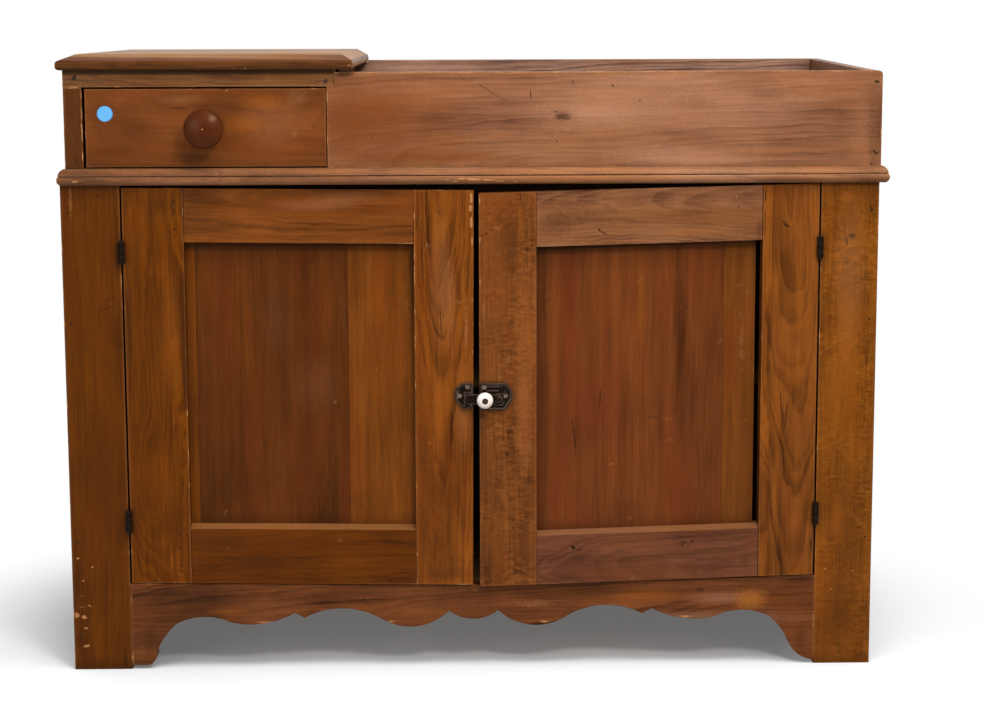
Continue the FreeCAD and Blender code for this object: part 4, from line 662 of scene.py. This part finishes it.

# marks of use, and painted light and shade: kind, x and z, half width and half height in mm, and a turn in
# degrees where there is one
SCARS_AND_PAINTED_LIGHT = {
    "well_front_board": [
        # the stain and shade marks at x 562 to 572 are painted shade on the board's rounded right end, the
        # under mark is a painted shadow beneath the top board, and the pinkish sheen marks are a painted
        # highlight
        ("deep", -181, 778, 46, 90), ("stain", -69, 852, 80, 16), ("painted_sheen", 232, 840, 200, 30),
        ("painted_sheen", 162, 802, 150, 26), ("shade", 564, 761, 16, 80), ("deep", -104, 740, 150, 20),
        ("painted_sheen", 247, 745, 100, 28), ("deep", -111, 805, 150, 90), ("painted_sheen", 373, 806, 150, 48),
        ("painted_sheen", 317, 734, 130, 30), ("stain", 562, 796, 20, 90), ("hole", 566, 842, 2.4, 2),
        ("hole", 566, 742, 2.2, 1.6), ("stain", 561, 744, 16, 3.2), ("hole", 559, 727, 2.2, 1.8),
        ("gouge", 79, 826, 1.1, 7), ("gouge", 138, 843, 0.8, 5), ("hole", 194, 838, 1.9, 1.5),
        ("hole", 232, 817, 2.2, 1.6, -25), ("knot", 121, 795, 12, 5, 10), ("stain", 124, 799, 24, 11),
        ("gouge", 114, 802, 4, 1.2), ("gouge", 131, 792, 5, 1.4, -10), ("hole", 116, 761, 1.4, 1.3),
        ("gouge", 18, 833, 20, 0.6, -33), ("gouge", 43, 819, 7, 0.5, -10), ("hole", -143, 766, 1.3, 1.2),
        ("stain", 176, 762, 60, 9, 4), ("stain", 316, 811, 45, 14, -6), ("stain", 415, 824, 40, 12),
        ("pale", 190, 801, 150, 60), ("pale", 120, 749, 180, 26), ("deep", -135, 789, 135, 80),
        ("deep", -160, 792, 95, 70), ("under", -180, 855, 22, 4.5), ("deep", -48, 741, 130, 13),
        ("painted_sheen", 324, 734, 150, 9), ("painted_sheen", 274, 847, 135, 13), ("stain", 514, 778, 70, 56),
        ("painted_sheen", 211, 801, 175, 52), ("scuff", 176, 857, 270, 1.4), ("scuff", -62, 859, 80, 1.3),
        ("knot", 124, 795, 16, 9), ("stain", -62, 794, 50, 10, 3), ("scuff", -75, 857, 60, 2.5),
        ("scuff", -166, 854, 24, 2), ("stain", 36, 858, 30, 3), ("shade", 572, 789, 9, 75),
        ("shade", 572, 789, 5, 75)],
    "drawer_front": [
        ("stain", -522, 796, 26, 60), ("pale", -247, 823, 24, 18), ("stain", -398, 739, 50, 14),
        ("stain", -438, 815, 60, 24), ("flush", -292, 817, 50, 18), ("chip", -345, 833, 2.5, 1),
        ("red", -516, 787, 7, 6), ("stain", -324, 808, 26, 2.4, -12), ("gouge", -413, 809, 16, 0.9, -3),
        ("stain", -283, 754, 3, 2.4), ("stain", -261, 761, 6, 5), ("pale", -252, 772, 8, 6),
        ("stain", -298, 729, 24, 3, 6), ("pale", -279, 785, 60, 50), ("stain", -481, 779, 60, 50),
        ("pale", -410, 820, 40, 10), ("stain", -496, 751, 50, 12, 4), ("flush", -328, 785, 60, 18)],
    "drawer_stile": [
        ("chip", -548, 783, 0.9, 7, 3), ("chip", -548, 743, 0.8, 6), ("stain", -561, 799, 3, 8),
        ("hole", -557, 737, 1.4, 1.4)],
    "drawer_rail": [
        ("stain", -521, 847, 70, 14), ("under", -395, 859, 900, 5.5), ("gouge", -217, 845, 8, 0.6, 14),
        ("gouge", -196, 845, 0.9, 12), ("shade", -382, 839, 190, 1.8), ("hole", -555, 854, 2, 1.6),
        ("stain", -562, 850, 6, 6), ("shade", -451, 841, 110, 2.5)],
    "left_case_stile": [
        ("chip", -573, 165, 3, 1.6, 20), ("chip", -552, 152, 2.4, 1.2), ("chip", -566, 132, 2, 1.4),
        ("chip", -558, 95, 2.6, 1.6, -20), ("chip", -577, 81, 4, 4.2, 10), ("chip", -566, 78, 4, 3),
        ("chip", -564, 62, 3.2, 1.8), ("chip", -564, 35, 5, 2.2, 8), ("scuff", -568, 93, 7, 1.6),
        ("scuff", -569, 110, 6, 1.2), ("hole", -528, 687, 1.3, 1.3), ("hole", -501, 671, 1.1, 1.1),
        ("gouge", -525, 525, 14, 0.5, 28), ("gouge", -516, 540, 9, 0.4, 24), ("stain", -573, 44, 12, 40),
        ("shade", -581, 353, 7, 420), ("gouge", -572, 368, 0.5, 12), ("scuff", -567, 681, 3, 30)],
    "right_case_stile": [
        ("stain", 491, 668, 20, 24), ("flush", 526, 681, 16, 12), ("stain", 521, 79, 44, 60),
        ("stain", 503, 34, 24, 44), ("gouge", 534, 625, 5.4, 4.6), ("gouge", 527, 617, 1.4, 9, 6),
        ("hole", 560, 667, 1.7, 1.6), ("hole", 561, 661, 1.5, 1.3), ("hole", 548, 659, 1.4, 1.3),
        ("stain", 518, 544, 6, 5), ("stain", 555, 332, 5, 3), ("hole", 538, 173, 1.2, 1.2),
        ("chip", 505, 141, 1.6, 1), ("chip", 545, 138, 1.8, 0.8), ("chip", 514, 111, 1.8, 1.2),
        ("chip", 521, 309, 1, 1), ("shade", 569, 64, 10, 60), ("shade", 573, 345, 7, 420),
        ("flush", 527, 491, 22, 110), ("pale", 532, 577, 34, 150), ("stain", 535, 94, 40, 140),
        ("stain", 533, 213, 34, 120), ("flush", 522, 213, 14, 60), ("stain", 567, 418, 4, 90),
        ("gouge", 559, 534, 0.7, 12, 4)],
    "scalloped_apron": [
        ("stain", -31, 99, 90, 24), ("stain", 179, 112, 100, 20), ("painted_sheen", 353, 99, 66, 14),
        ("stain", -31, 124, 75, 24), ("painted_sheen", 310, 69, 190, 16), ("chip", -305, 68, 12, 2.2),
        ("chip", -279, 72, 5, 3, 25), ("chip", -468, 127, 17, 0.9), ("flush", 397, 95, 36, 20),
        ("gold", 397, 97, 34, 24, 10), ("flush", 237, 103, 70, 14), ("shade", -400, 84, 150, 60),
        ("stain", -414, 102, 60, 30), ("scuff", 85, 92, 34, 7), ("chip", -164, 100, 2.2, 1.2),
        ("chip", -126, 67, 9, 2, 8), ("chip", 99, 66, 7, 1.6), ("chip", 300, 72, 10, 2),
        ("hole", -164, 100, 3.4, 2.2, 25), ("stain", -385, 102, 60, 9), ("knot", 324, 111, 10, 5),
        ("shade", -473, 43, 16, 40), ("shade", 471, 35, 12, 40), ("flush", -356, 84, 40, 10),
        ("stain", 208, 109, 70, 4), ("gouge", -293, 85, 1.4, 1.4), ("chip", -281, 41, 2, 1)],
    "left_door_hinge_stile": [
        ("stain", -442, 672, 40, 28), ("flush", -429, 489, 20, 130), ("stain", -449, 677, 50, 16),
        ("hole", -419, 273, 1.4, 1.4), ("flush", -438, 162, 4, 30), ("hole", -405, 636, 1.2, 1.2),
        ("stain", -456, 660, 10, 20), ("gouge", -426, 675, 0.8, 17), ("gouge", -424, 661, 0.7, 8, -20),
        ("shade", -489, 497, 5, 160)],
    "left_door_lock_stile": [
        ("flush", -36, 530, 12, 90), ("pale", -36, 537, 14, 90), ("stain", -69, 277, 20, 170),
        ("stain", -74, 321, 12, 110), ("shade", -38, 139, 50, 14), ("flush", -17, 376, 18, 80),
        ("pale", -17, 376, 18, 80), ("chip", -5, 682, 2, 9), ("chip", -6, 669, 3, 6),
        ("chip", -5, 648, 2, 10), ("chip", -4, 621, 1.4, 7), ("chip", -4, 537, 0.9, 2.5),
        ("chip", -4, 463, 0.9, 3), ("pale", -50, 566, 20, 130), ("flush", -55, 594, 12, 120),
        ("flush", -54, 350, 14, 90), ("stain", -56, 451, 3, 50, 4), ("stain", -45, 248, 30, 110),
        ("stain", -45, 159, 30, 70), ("gouge", -49, 509, 0.7, 30, 3), ("shade", -74, 204, 10, 60),
        ("stain", -31, 159, 16, 30), ("scuff", -13, 494, 4, 50), ("hole", -49, 662, 1.1, 1.1)],
    "left_door_top_rail": [
        ("stain", -365, 644, 70, 30), ("pale", -182, 683, 70, 14), ("pale", -245, 672, 60, 14),
        ("stain", -331, 627, 50, 4), ("gouge", -218, 629, 26, 0.6), ("pale", -203, 673, 60, 12),
        ("hole", -404, 662, 1.1, 1.1)],
    "left_door_bottom_rail": [
        ("stain", -375, 191, 70, 22), ("hole", -103, 267, 1.1, 1.1), ("scuff", -253, 211, 90, 1.6),
        ("stain", -326, 161, 60, 14)],
    "left_door_panel": [
        ("stain", -360, 502, 14, 130), ("stain", -146, 238, 60, 40), ("flush", -142, 536, 30, 70),
        ("pale", -229, 414, 60, 70), ("pale", -285, 508, 40, 90), ("stain", -182, 246, 50, 24),
        ("under", -290, 615, 700, 3.6), ("scuff", -285, 273, 3, 1.4), ("scuff", -249, 240, 1.6, 1.4),
        ("stain", -281, 494, 18, 120), ("red", -356, 494, 20, 140), ("shade", -176, 421, 2.5, 180)],
    "right_door_lock_stile": [
        ("flush", 69, 329, 16, 70), ("pale", 69, 329, 18, 70), ("flush", 70, 401, 16, 70),
        ("pale", 70, 401, 18, 70), ("flush", 64, 648, 5, 36), ("gouge", 64, 684, 0.9, 6),
        ("stain", 35, 658, 14, 24), ("scuff", 44, 648, 2, 1.6), ("chip", 7, 680, 0.9, 6),
        ("chip", 7, 623, 0.9, 8), ("chip", 7, 564, 0.8, 6), ("scuff", 12, 524, 2, 30),
        ("flush", 76, 495, 5, 80), ("red", 70, 351, 9, 70), ("stain", 35, 409, 14, 6),
        ("stain", 30, 249, 12, 50), ("shade", 20, 161, 12, 30), ("stain", 44, 623, 30, 60),
        ("hole", 68, 141, 1.2, 1.2), ("red", 52, 423, 8, 30)],
    "right_door_top_rail": [
        ("shade", 109, 645, 44, 30), ("stain", 169, 653, 60, 22), ("pale", 303, 633, 90, 20),
        ("knot", 178, 634, 5, 3.4, -20), ("hole", 175, 636, 2.2, 1.6, -15),
        ("gouge", 183, 631, 4, 1.2, -30), ("hole", 372, 668, 1.6, 1.3), ("chip", 369, 682, 0.8, 2.2),
        ("stain", 303, 658, 60, 5, 4), ("stain", 176, 662, 46, 6, -3), ("flush", 303, 633, 60, 6, 3),
        ("chip", 298, 614, 3, 0.8), ("shade", 402, 635, 6, 22), ("stain", 127, 662, 55, 34),
        ("stain", 120, 648, 40, 24)],
    "right_door_panel": [
        ("red", 147, 391, 46, 80), ("stain", 227, 535, 26, 50), ("stain", 222, 226, 70, 34),
        ("red", 143, 227, 40, 50), ("under", 248, 613, 700, 3.2, 1.5), ("scuff", 378, 602, 5, 1, -8),
        ("scuff", 378, 555, 6, 3, 20), ("scuff", 388, 545, 6, 2.2, -10), ("scuff", 378, 514, 2.2, 2),
        ("chip", 378, 514, 1.2, 0.9), ("scuff", 363, 514, 1.8, 1.4), ("scuff", 102, 541, 2.2, 2.2),
        ("chip", 399, 433, 1, 5), ("chip", 400, 415, 0.8, 5), ("red", 135, 478, 14, 60),
        ("red", 178, 361, 40, 110), ("flush", 235, 535, 12, 110), ("gouge", 142, 332, 1.6, 22, 2),
        ("gouge", 178, 390, 1.2, 20, -2), ("gouge", 139, 354, 0.9, 14), ("red", 121, 274, 18, 60),
        ("stain", 351, 360, 8, 100), ("shade", 356, 447, 1.4, 150), ("scuff", 381, 476, 7, 60),
        ("gouge", 257, 364, 14, 1, -6), ("scuff", 276, 361, 8, 2.2)],
    "right_door_bottom_rail": [
        ("hole", 139, 178, 4.4, 2.2, -20), ("gouge", 149, 174, 5, 1.2), ("knot", 298, 183, 9, 3, 10),
        ("gouge", 311, 185, 5, 1.4, 15), ("stain", 207, 158, 50, 8), ("shade", 388, 157, 10, 16),
        ("hole", 382, 163, 1.2, 1.2)],
    "right_door_hinge_stile": [
        ("stain", 463, 173, 22, 34), ("stain", 458, 481, 10, 26), ("flush", 433, 383, 20, 80),
        ("flush", 426, 556, 16, 50), ("stain", 436, 173, 18, 26), ("gouge", 410, 683, 1.4, 11),
        ("gouge", 410, 646, 0.7, 26), ("gouge", 441, 641, 7, 2, -35), ("gouge", 437, 646, 3, 1.2, -35),
        ("knot", 440, 361, 3.4, 30, 2), ("gouge", 437, 383, 1, 24, 4), ("gouge", 444, 364, 1, 30, -5),
        ("flush", 461, 534, 8, 90), ("flush", 431, 273, 6, 80), ("stain", 418, 606, 4, 50),
        ("gouge", 417, 463, 0.8, 60), ("stain", 482, 177, 8, 26), ("gouge", 484, 177, 1.2, 9),
        ("chip", 402, 620, 0.9, 10), ("chip", 404, 535, 0.8, 14), ("chip", 404, 376, 0.8, 8)],
    "waist_moulding_front": [
        # the long gouge at z 714 is a sunk quirk darkened as painted shade, and the stain at x 556 is
        # painted shade on the moulding's rounded right end
        ("stain", -530, 714, 120, 40), ("stain", -551, 714, 70, 40), ("pale", 232, 711, 240, 40),
        ("painted_sheen", 316, 710, 130, 40), ("stain", 556, 709, 40, 40), ("chip", -557, 708, 5, 1.6),
        ("chip", -18, 710, 9, 1.3, 4), ("chip", -1, 709, 11, 1.6, -3), ("chip", 19, 708, 10, 1.5, -4),
        ("chip", 36, 706, 7, 1.2), ("chip", -28, 706, 5, 1), ("chip", -39, 709, 4, 0.8),
        ("chip", 57, 705, 5, 0.8), ("scuff", 120, 706, 50, 2), ("scuff", -314, 703, 40, 1.4),
        ("chip", -352, 702, 4, 0.8), ("chip", -334, 708, 6, 0.6), ("scuff", 316, 709, 60, 1.2),
        ("stain", -174, 711, 40, 2), ("gouge", -1, 714, 640, 0.9), ("shade", -384, 715, 320, 12)],
    "top_board": [
        ("deep", -394, 878, 900, 6), ("chip", -168, 866, 2.4, 1.6, 20), ("chip", -318, 864, 2, 0.8),
        ("stain", -491, 866, 20, 2), ("chip", -174, 868, 2, 1)],
}


def box_of(node):
    low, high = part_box(node)
    return tuple(low), tuple(high)


def wood_for(node, number=0, **finish):
    """The material of one solid of a node, from the table of tones and marks."""
    name = "stained_pine_" + node + ("_%d" % (number + 1) if number else "")
    return stained_pine(name, box_of(node), *TONES[node][number], marks=SCARS_AND_PAINTED_LIGHT.get(node, ()), **finish)


def board(node, body, *finishes, slot="stained_pine", **wear):
    """A worn board with a finish of its own for each of the pieces it is glued up from, left to right."""
    woods = [wood_for(node, number, **finish) for number, finish in enumerate(finishes)]
    worn(node, woods, slot, body, **wear)


def bare_pine(node, soft, **finish):
    """A board of the inside that was never stained, with its own mesh and softened arrises."""
    tones = TONES.get(node, TONES["plain"])[0]
    repaint(node, stained_pine("bare_pine_" + node, box_of(node), *tones, wear=0.05, **finish))
    soften(nodes[node], soft)


# ---------------------------------------------------------------- the case

CASE, DRAWER, LEFT, RIGHT = "case", "drawer", "left_door", "right_door"
# the grain runs up a stile, along a rail and from front to back in a side, so the axes across, through
# and along it are XYZ, ZYX and ZXY; a wide board that lies flat has YZX, and a side board YXZ
board("left_case_stile", CASE, dict(seed=2.1, pith=(-55, 60), ring=5.5, grain=0.20, streak=0.7),
      chips=[(-576, -234, 81, 8, 1.6), (-572, -234, 6, 12, 3.0), (-503, -234, 8, 8, 2.0),
             (-581.5, -234, 166, 9, 1.5), (-581.5, -234, 330, 6, 1.2)])
board("right_case_stile", CASE,
      dict(seed=7.7, pith=(90, 120), ring=3.0, grain=0.12, curl=1.5, streak=0.6, blotch=1.1),
      chips=[(571.5, -234, z, reach, depth) for z, reach, depth in (
          (176, 7, 1.8), (70, 10, 2.0), (640, 8, 1.2), (3, 10, 3.5), (480, 7, 1.4))])
board("scalloped_apron", CASE, dict(order="ZYX", seed=4.4, pith=(-20, 45), lean=0.05, ring=6, wear=0.22),
      chips=[(-299, -234, 66, 12, 2.2), (-280, -234, 72, 7, 2.4), (-125, -234, 66, 14, 2.2),
             (63, -234, 66, 9, 1.6), (299, -234, 71, 14, 2.0), (170, -234, 90, 8, 1.4)], step=6.0)
board("well_front_board", CASE,
      dict(order="ZYX", seed=11.3, pith=(-84, 30), lean=0.13, ring=9, grain=0.27, blotch=1.1, wear=0.22),
      chips=[(x, -234, 858, 11, depth) for x, depth in (
          (-150, 1.2), (-96, 1.6), (-60, 1.2), (10, 1.0), (120, 0.8), (240, 1.1), (330, 0.8), (455, 1.2),
          (560, 1.6))])
board("drawer_rail", CASE, dict(order="ZYX", seed=5.2, pith=(10, 60), grain=0.3))
board("drawer_stile", CASE, dict(seed=6.6, pith=(5, 50), wear=0.24))
board("top_board", CASE,
      dict(order="YZX", seed=8.8, pith=(30, -90), lean=0.02, ring=6, grain=0.32, gloss=0.42, faded=0.40,
           bare="#c2873a"),
      chips=[(-172, -240, 868, 9, 1.5), (-580, -242, 868, 7, 1.2), (-330, -242.5, 866, 8, 1.0)], width=1.2)
board("well_right_side", CASE, dict(order="ZXY", seed=9.1, pith=(-30, 80)),
      chips=[(573, -180, 862, 9, 1.2), (553, 60, 866, 9, 1.2)])
board("drawer_end_board", CASE, dict(order="ZXY", seed=9.9, pith=(20, 80)))
board("well_back_board", CASE,
      dict(order="ZYX", seed=3.9, pith=(20, 40), lean=0.04, ring=6, grain=0.45, blotch=1.3, gloss=0.55),
      slot="plain_pine", chips=[(x, 254, 866, reach, depth) for x, reach, depth in (
          (-150, 12, 2.0), (-90, 9, 1.6), (230, 10, 1.4), (400, 8, 1.2))])
board("left_side_board", CASE, dict(order="YXZ", seed=12.2, pith=(60, -70), lean=0.05, ring=6, grain=0.4))
board("right_side_board", CASE, dict(order="YXZ", seed=13.4, pith=(-80, 70), lean=0.05, ring=6, grain=0.4))
weathered = [stained_pine("weathered_pine_back_%d" % (number + 1), box_of("back_boards"),
                          *TONES["back_boards"][0], seed=14.0 + 2.3 * number, pith=(-160 + 90 * number, 60),
                          lean=0.04, grain=0.5, blotch=1.0, gloss=0.66, wear=0.12) for number in range(5)]
worn("back_boards", weathered, "plain_pine", CASE, width=1.2, step=14.0)

for side, order in (("front", "ZYX"), ("left", "ZXY"), ("right", "ZXY")):
    moulding = "waist_moulding_" + side
    repaint(moulding, wood_for(moulding, order=order, seed=21.0 + len(moulding), pith=(5, 40), wear=0.27,
                               specks=0.2, grime=0.9, front=MOULDING_FRONT))
    soften(nodes[moulding], 0.5)

# a strip scribed to the rounded end of the top board closes the hollow there, over the back board
NOSE, SLACK, REVEAL = 5 * MM, 0.05 * MM, 0.3 * MM
end, low_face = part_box("top_board")[1][0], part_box("top_board")[0][2]
(_, back_front, _), (_, back_face, back_top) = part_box("well_back_board")
hollow = NOSE + SLACK
outline = [(end - NOSE + hollow * math.cos(turn), low_face + NOSE + hollow * math.sin(turn))
           for turn in (math.radians(degrees) for degrees in range(-90, -10, 10))]
outline += [(end + REVEAL, back_top), (end + REVEAL, low_face)]
scribe = bmesh.new()
front, back = [[scribe.verts.new((x, y, z)) for x, z in outline] for y in (back_front, back_face)]
for number in range(len(outline)):
    scribe.faces.new([front[number - 1], front[number], back[number], back[number - 1]])
scribe.faces.new(front)
scribe.faces.new(back)
bmesh.ops.recalc_face_normals(scribe, faces=scribe.faces)
mesh = bpy.data.meshes.new("back_board_scribe")
scribe.to_mesh(mesh)
scribe.free()
mesh.materials.append(nodes["well_back_board"].data.materials[0])
piece = new_object("back_board_scribe", mesh)
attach(piece, "case")

# ---------------------------------------------------------------- drawer

board("drawer_front", DRAWER,
      dict(order="ZYX", seed=31.5, pith=(30, 90), lean=0.05, ring=6.5, grain=0.28, streak=0.6),
      chips=[(-352, -233, 836, 5, 1.5)])
# the knob is round, so it has no arris to wear: its box is far larger than the knob
no_arris = ((-0.5, -0.4, 0.6), (-0.2, -0.1, 0.9))
repaint("drawer_knob", stained_pine("turned_knob_varnish", no_arris, *TONES["drawer_knob"][0], order="XZY",
                                    seed=33.0, pith=(12, 18), ring=5, grain=0.30, gloss=0.34, wear=0.12,
                                    front=KNOB_FRONT, marks=[("chip", -375.4, 781.2, 1.3, 1.1, 30)]))
for node, order in (("drawer_left_side", "ZXY"), ("drawer_right_side", "ZXY"), ("drawer_back", "ZYX"),
                    ("drawer_bottom", "XZY")):
    bare_pine(node, 0.6, order=order, seed=35.0 + len(node), pith=(15, 70), gloss=0.62)

# ---------------------------------------------------------------- doors

# the shoulders of the rails have opened a little against the stiles
for door, first, last in ((LEFT, "_hinge_stile", "_lock_stile"), (RIGHT, "_lock_stile", "_hinge_stile")):
    for rail in ("_top_rail", "_bottom_rail"):
        low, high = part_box(door + rail)
        height = (low[2] + high[2]) / 2 / MM
        SCARS_AND_PAINTED_LIGHT[door + rail] += [("joint", x / MM, height, 1.3, 80) for x in
                               (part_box(door + first)[1][0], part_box(door + last)[0][0])]
board("left_door_hinge_stile", LEFT, dict(seed=41.0, pith=(8, 60), grain=0.3),
      dict(seed=42.0, pith=(30, 60), grain=0.5, streak=1.2), joints=[-431.85])
board("left_door_lock_stile", LEFT, dict(seed=43.5, pith=(-6, 34), lean=0.05, ring=5, grain=0.42, wear=0.2),
      chips=[(-1.2, -237, z, reach, depth) for z, reach, depth in (
          (688, 10, 3.2), (676, 7, 3.0), (664, 9, 3.4), (650, 8, 2.4), (636, 8, 2.8), (620, 7, 1.8),
          (555, 5, 1.2), (470, 5, 1.4), (300, 5, 1.0))], step=5.0)
board("left_door_top_rail", LEFT, dict(order="ZYX", seed=44.1, pith=(40, 60), grain=0.25))
board("left_door_bottom_rail", LEFT,
      dict(order="ZYX", seed=45.2, pith=(-30, 60), grain=0.25, wear=0.22, faded=0.9, grime=0.25))
board("left_door_panel", LEFT,
      *[dict(seed=46.0 + number, pith=(40 - 40 * number, 80), ring=5, grain=0.12, streak=1.2, blotch=1.0)
        for number in range(3)], slot="reddish_pine", width=0.5, joints=[-396.8, -180.75])
board("right_door_lock_stile", RIGHT, dict(seed=51.0, pith=(50, 80), grain=0.18, curl=1.8, ring=3.2),
      chips=[(5.5, -245, z, 6, depth) for z, depth in (
          (688, 1.6), (640, 1.2), (585, 1.4), (520, 1.0), (300, 1.0), (160, 1.2))])
board("right_door_top_rail", RIGHT, dict(order="ZYX", seed=52.6, pith=(20, 50), lean=0.04))
board("right_door_bottom_rail", RIGHT,
      dict(order="ZYX", seed=53.7, pith=(-20, 60), grain=0.3, wear=0.2, faded=0.9, grime=0.25))
board("right_door_panel", RIGHT,
      *[dict(seed=54.4 + number, pith=(30, 80), ring=5, grain=0.12, streak=1.5, blotch=1.0)
        for number in range(2)], slot="reddish_pine", width=0.5, joints=[354.45])
board("right_door_hinge_stile", RIGHT, dict(seed=57.3, pith=(-30, 50), grain=0.4),
      dict(seed=56.3, pith=(6, 22), lean=0.07, ring=6, grain=0.42, streak=0.9),
      chips=[(407, -236, 640, 8, 1.4), (407, -236, 560, 8, 1.2), (407, -236, 420, 8, 1.2)], joints=[420.8])

# ---------------------------------------------------------------- inside, and the metal parts

# the door stop among these keeps its near-black tone, painted shade for the gap between the doors
for node, order in (("case_floor", "YZX"), ("middle_shelf", "YZX"), ("shelf_cleats", "ZXY"),
                    ("door_stop", "ZYX"), ("well_floor", "YZX"), ("drawer_partition", "ZXY"),
                    ("drawer_guides", "ZXY")):
    bare_pine(node, 0.8, order=order, seed=60.0 + len(node), pith=(40, -80), gloss=0.66, blotch=0.9,
              streak=1.1)

iron = japanned_iron("black_japanned_iron")
steel = dull_steel("dull_turned_steel", clean="#4a382b", brown="#22140d", bare=0.5)
bright_steel = dull_steel("rubbed_turned_steel", clean="#b9aa9c", brown="#5c4a3d")
by_slot = {"black_iron": japanned_iron("brown_wrought_iron", gloss=0.55, rust=0.6, rubbed="#4a3f37"),
           "steel": steel}
by_node = {"latch_plate": iron, "latch_bar": iron, "latch_keeper": iron, "latch_pivot": iron,
           "latch_plate_screws": bright_steel, "keeper_screws": bright_steel, "latch_knob_stud": steel,
           "latch_knob": glazed_porcelain("white_glazed_porcelain"),
           "paper_dot": gummed_paper("blue_gummed_paper")}
for node, thing in nodes.items():
    finish = by_node.get(node) or by_slot.get(thing.data.materials[0].name)
    if finish:
        repaint(node, finish)

# raised lines cast on the latch's plate and keeper, each about a millimetre wide
BEAD = 0.55
for number, line in enumerate((
        [(16.0, 414.2), (38.0, 414.2)], [(15.0, 408.4), (32.5, 408.4)], [(29.0, 403.6), (39.5, 403.6)],
        [(24.0, 387.6), (37.0, 387.6), (40.5, 392.0)])):
    bead("plate_bead_%d" % (number + 1), "latch_plate", line, BEAD, iron, RIGHT)
for number, line in enumerate((
        [(-23.0, 408.5), (-25.6, 405.5), (-26.2, 400.0), (-25.4, 394.5), (-22.0, 390.0)],
        [(-5.6, 387.0), (-5.6, 413.0)])):
    bead("keeper_bead_%d" % (number + 1), "latch_keeper", line, BEAD, iron, LEFT)
for node in ("latch_plate", "latch_keeper", "latch_bar"):
    soften(nodes[node], 0.35, angle=30)

bpy.context.scene.view_settings.view_transform = "Standard"
set_camera()
set_light()
lay_floor()
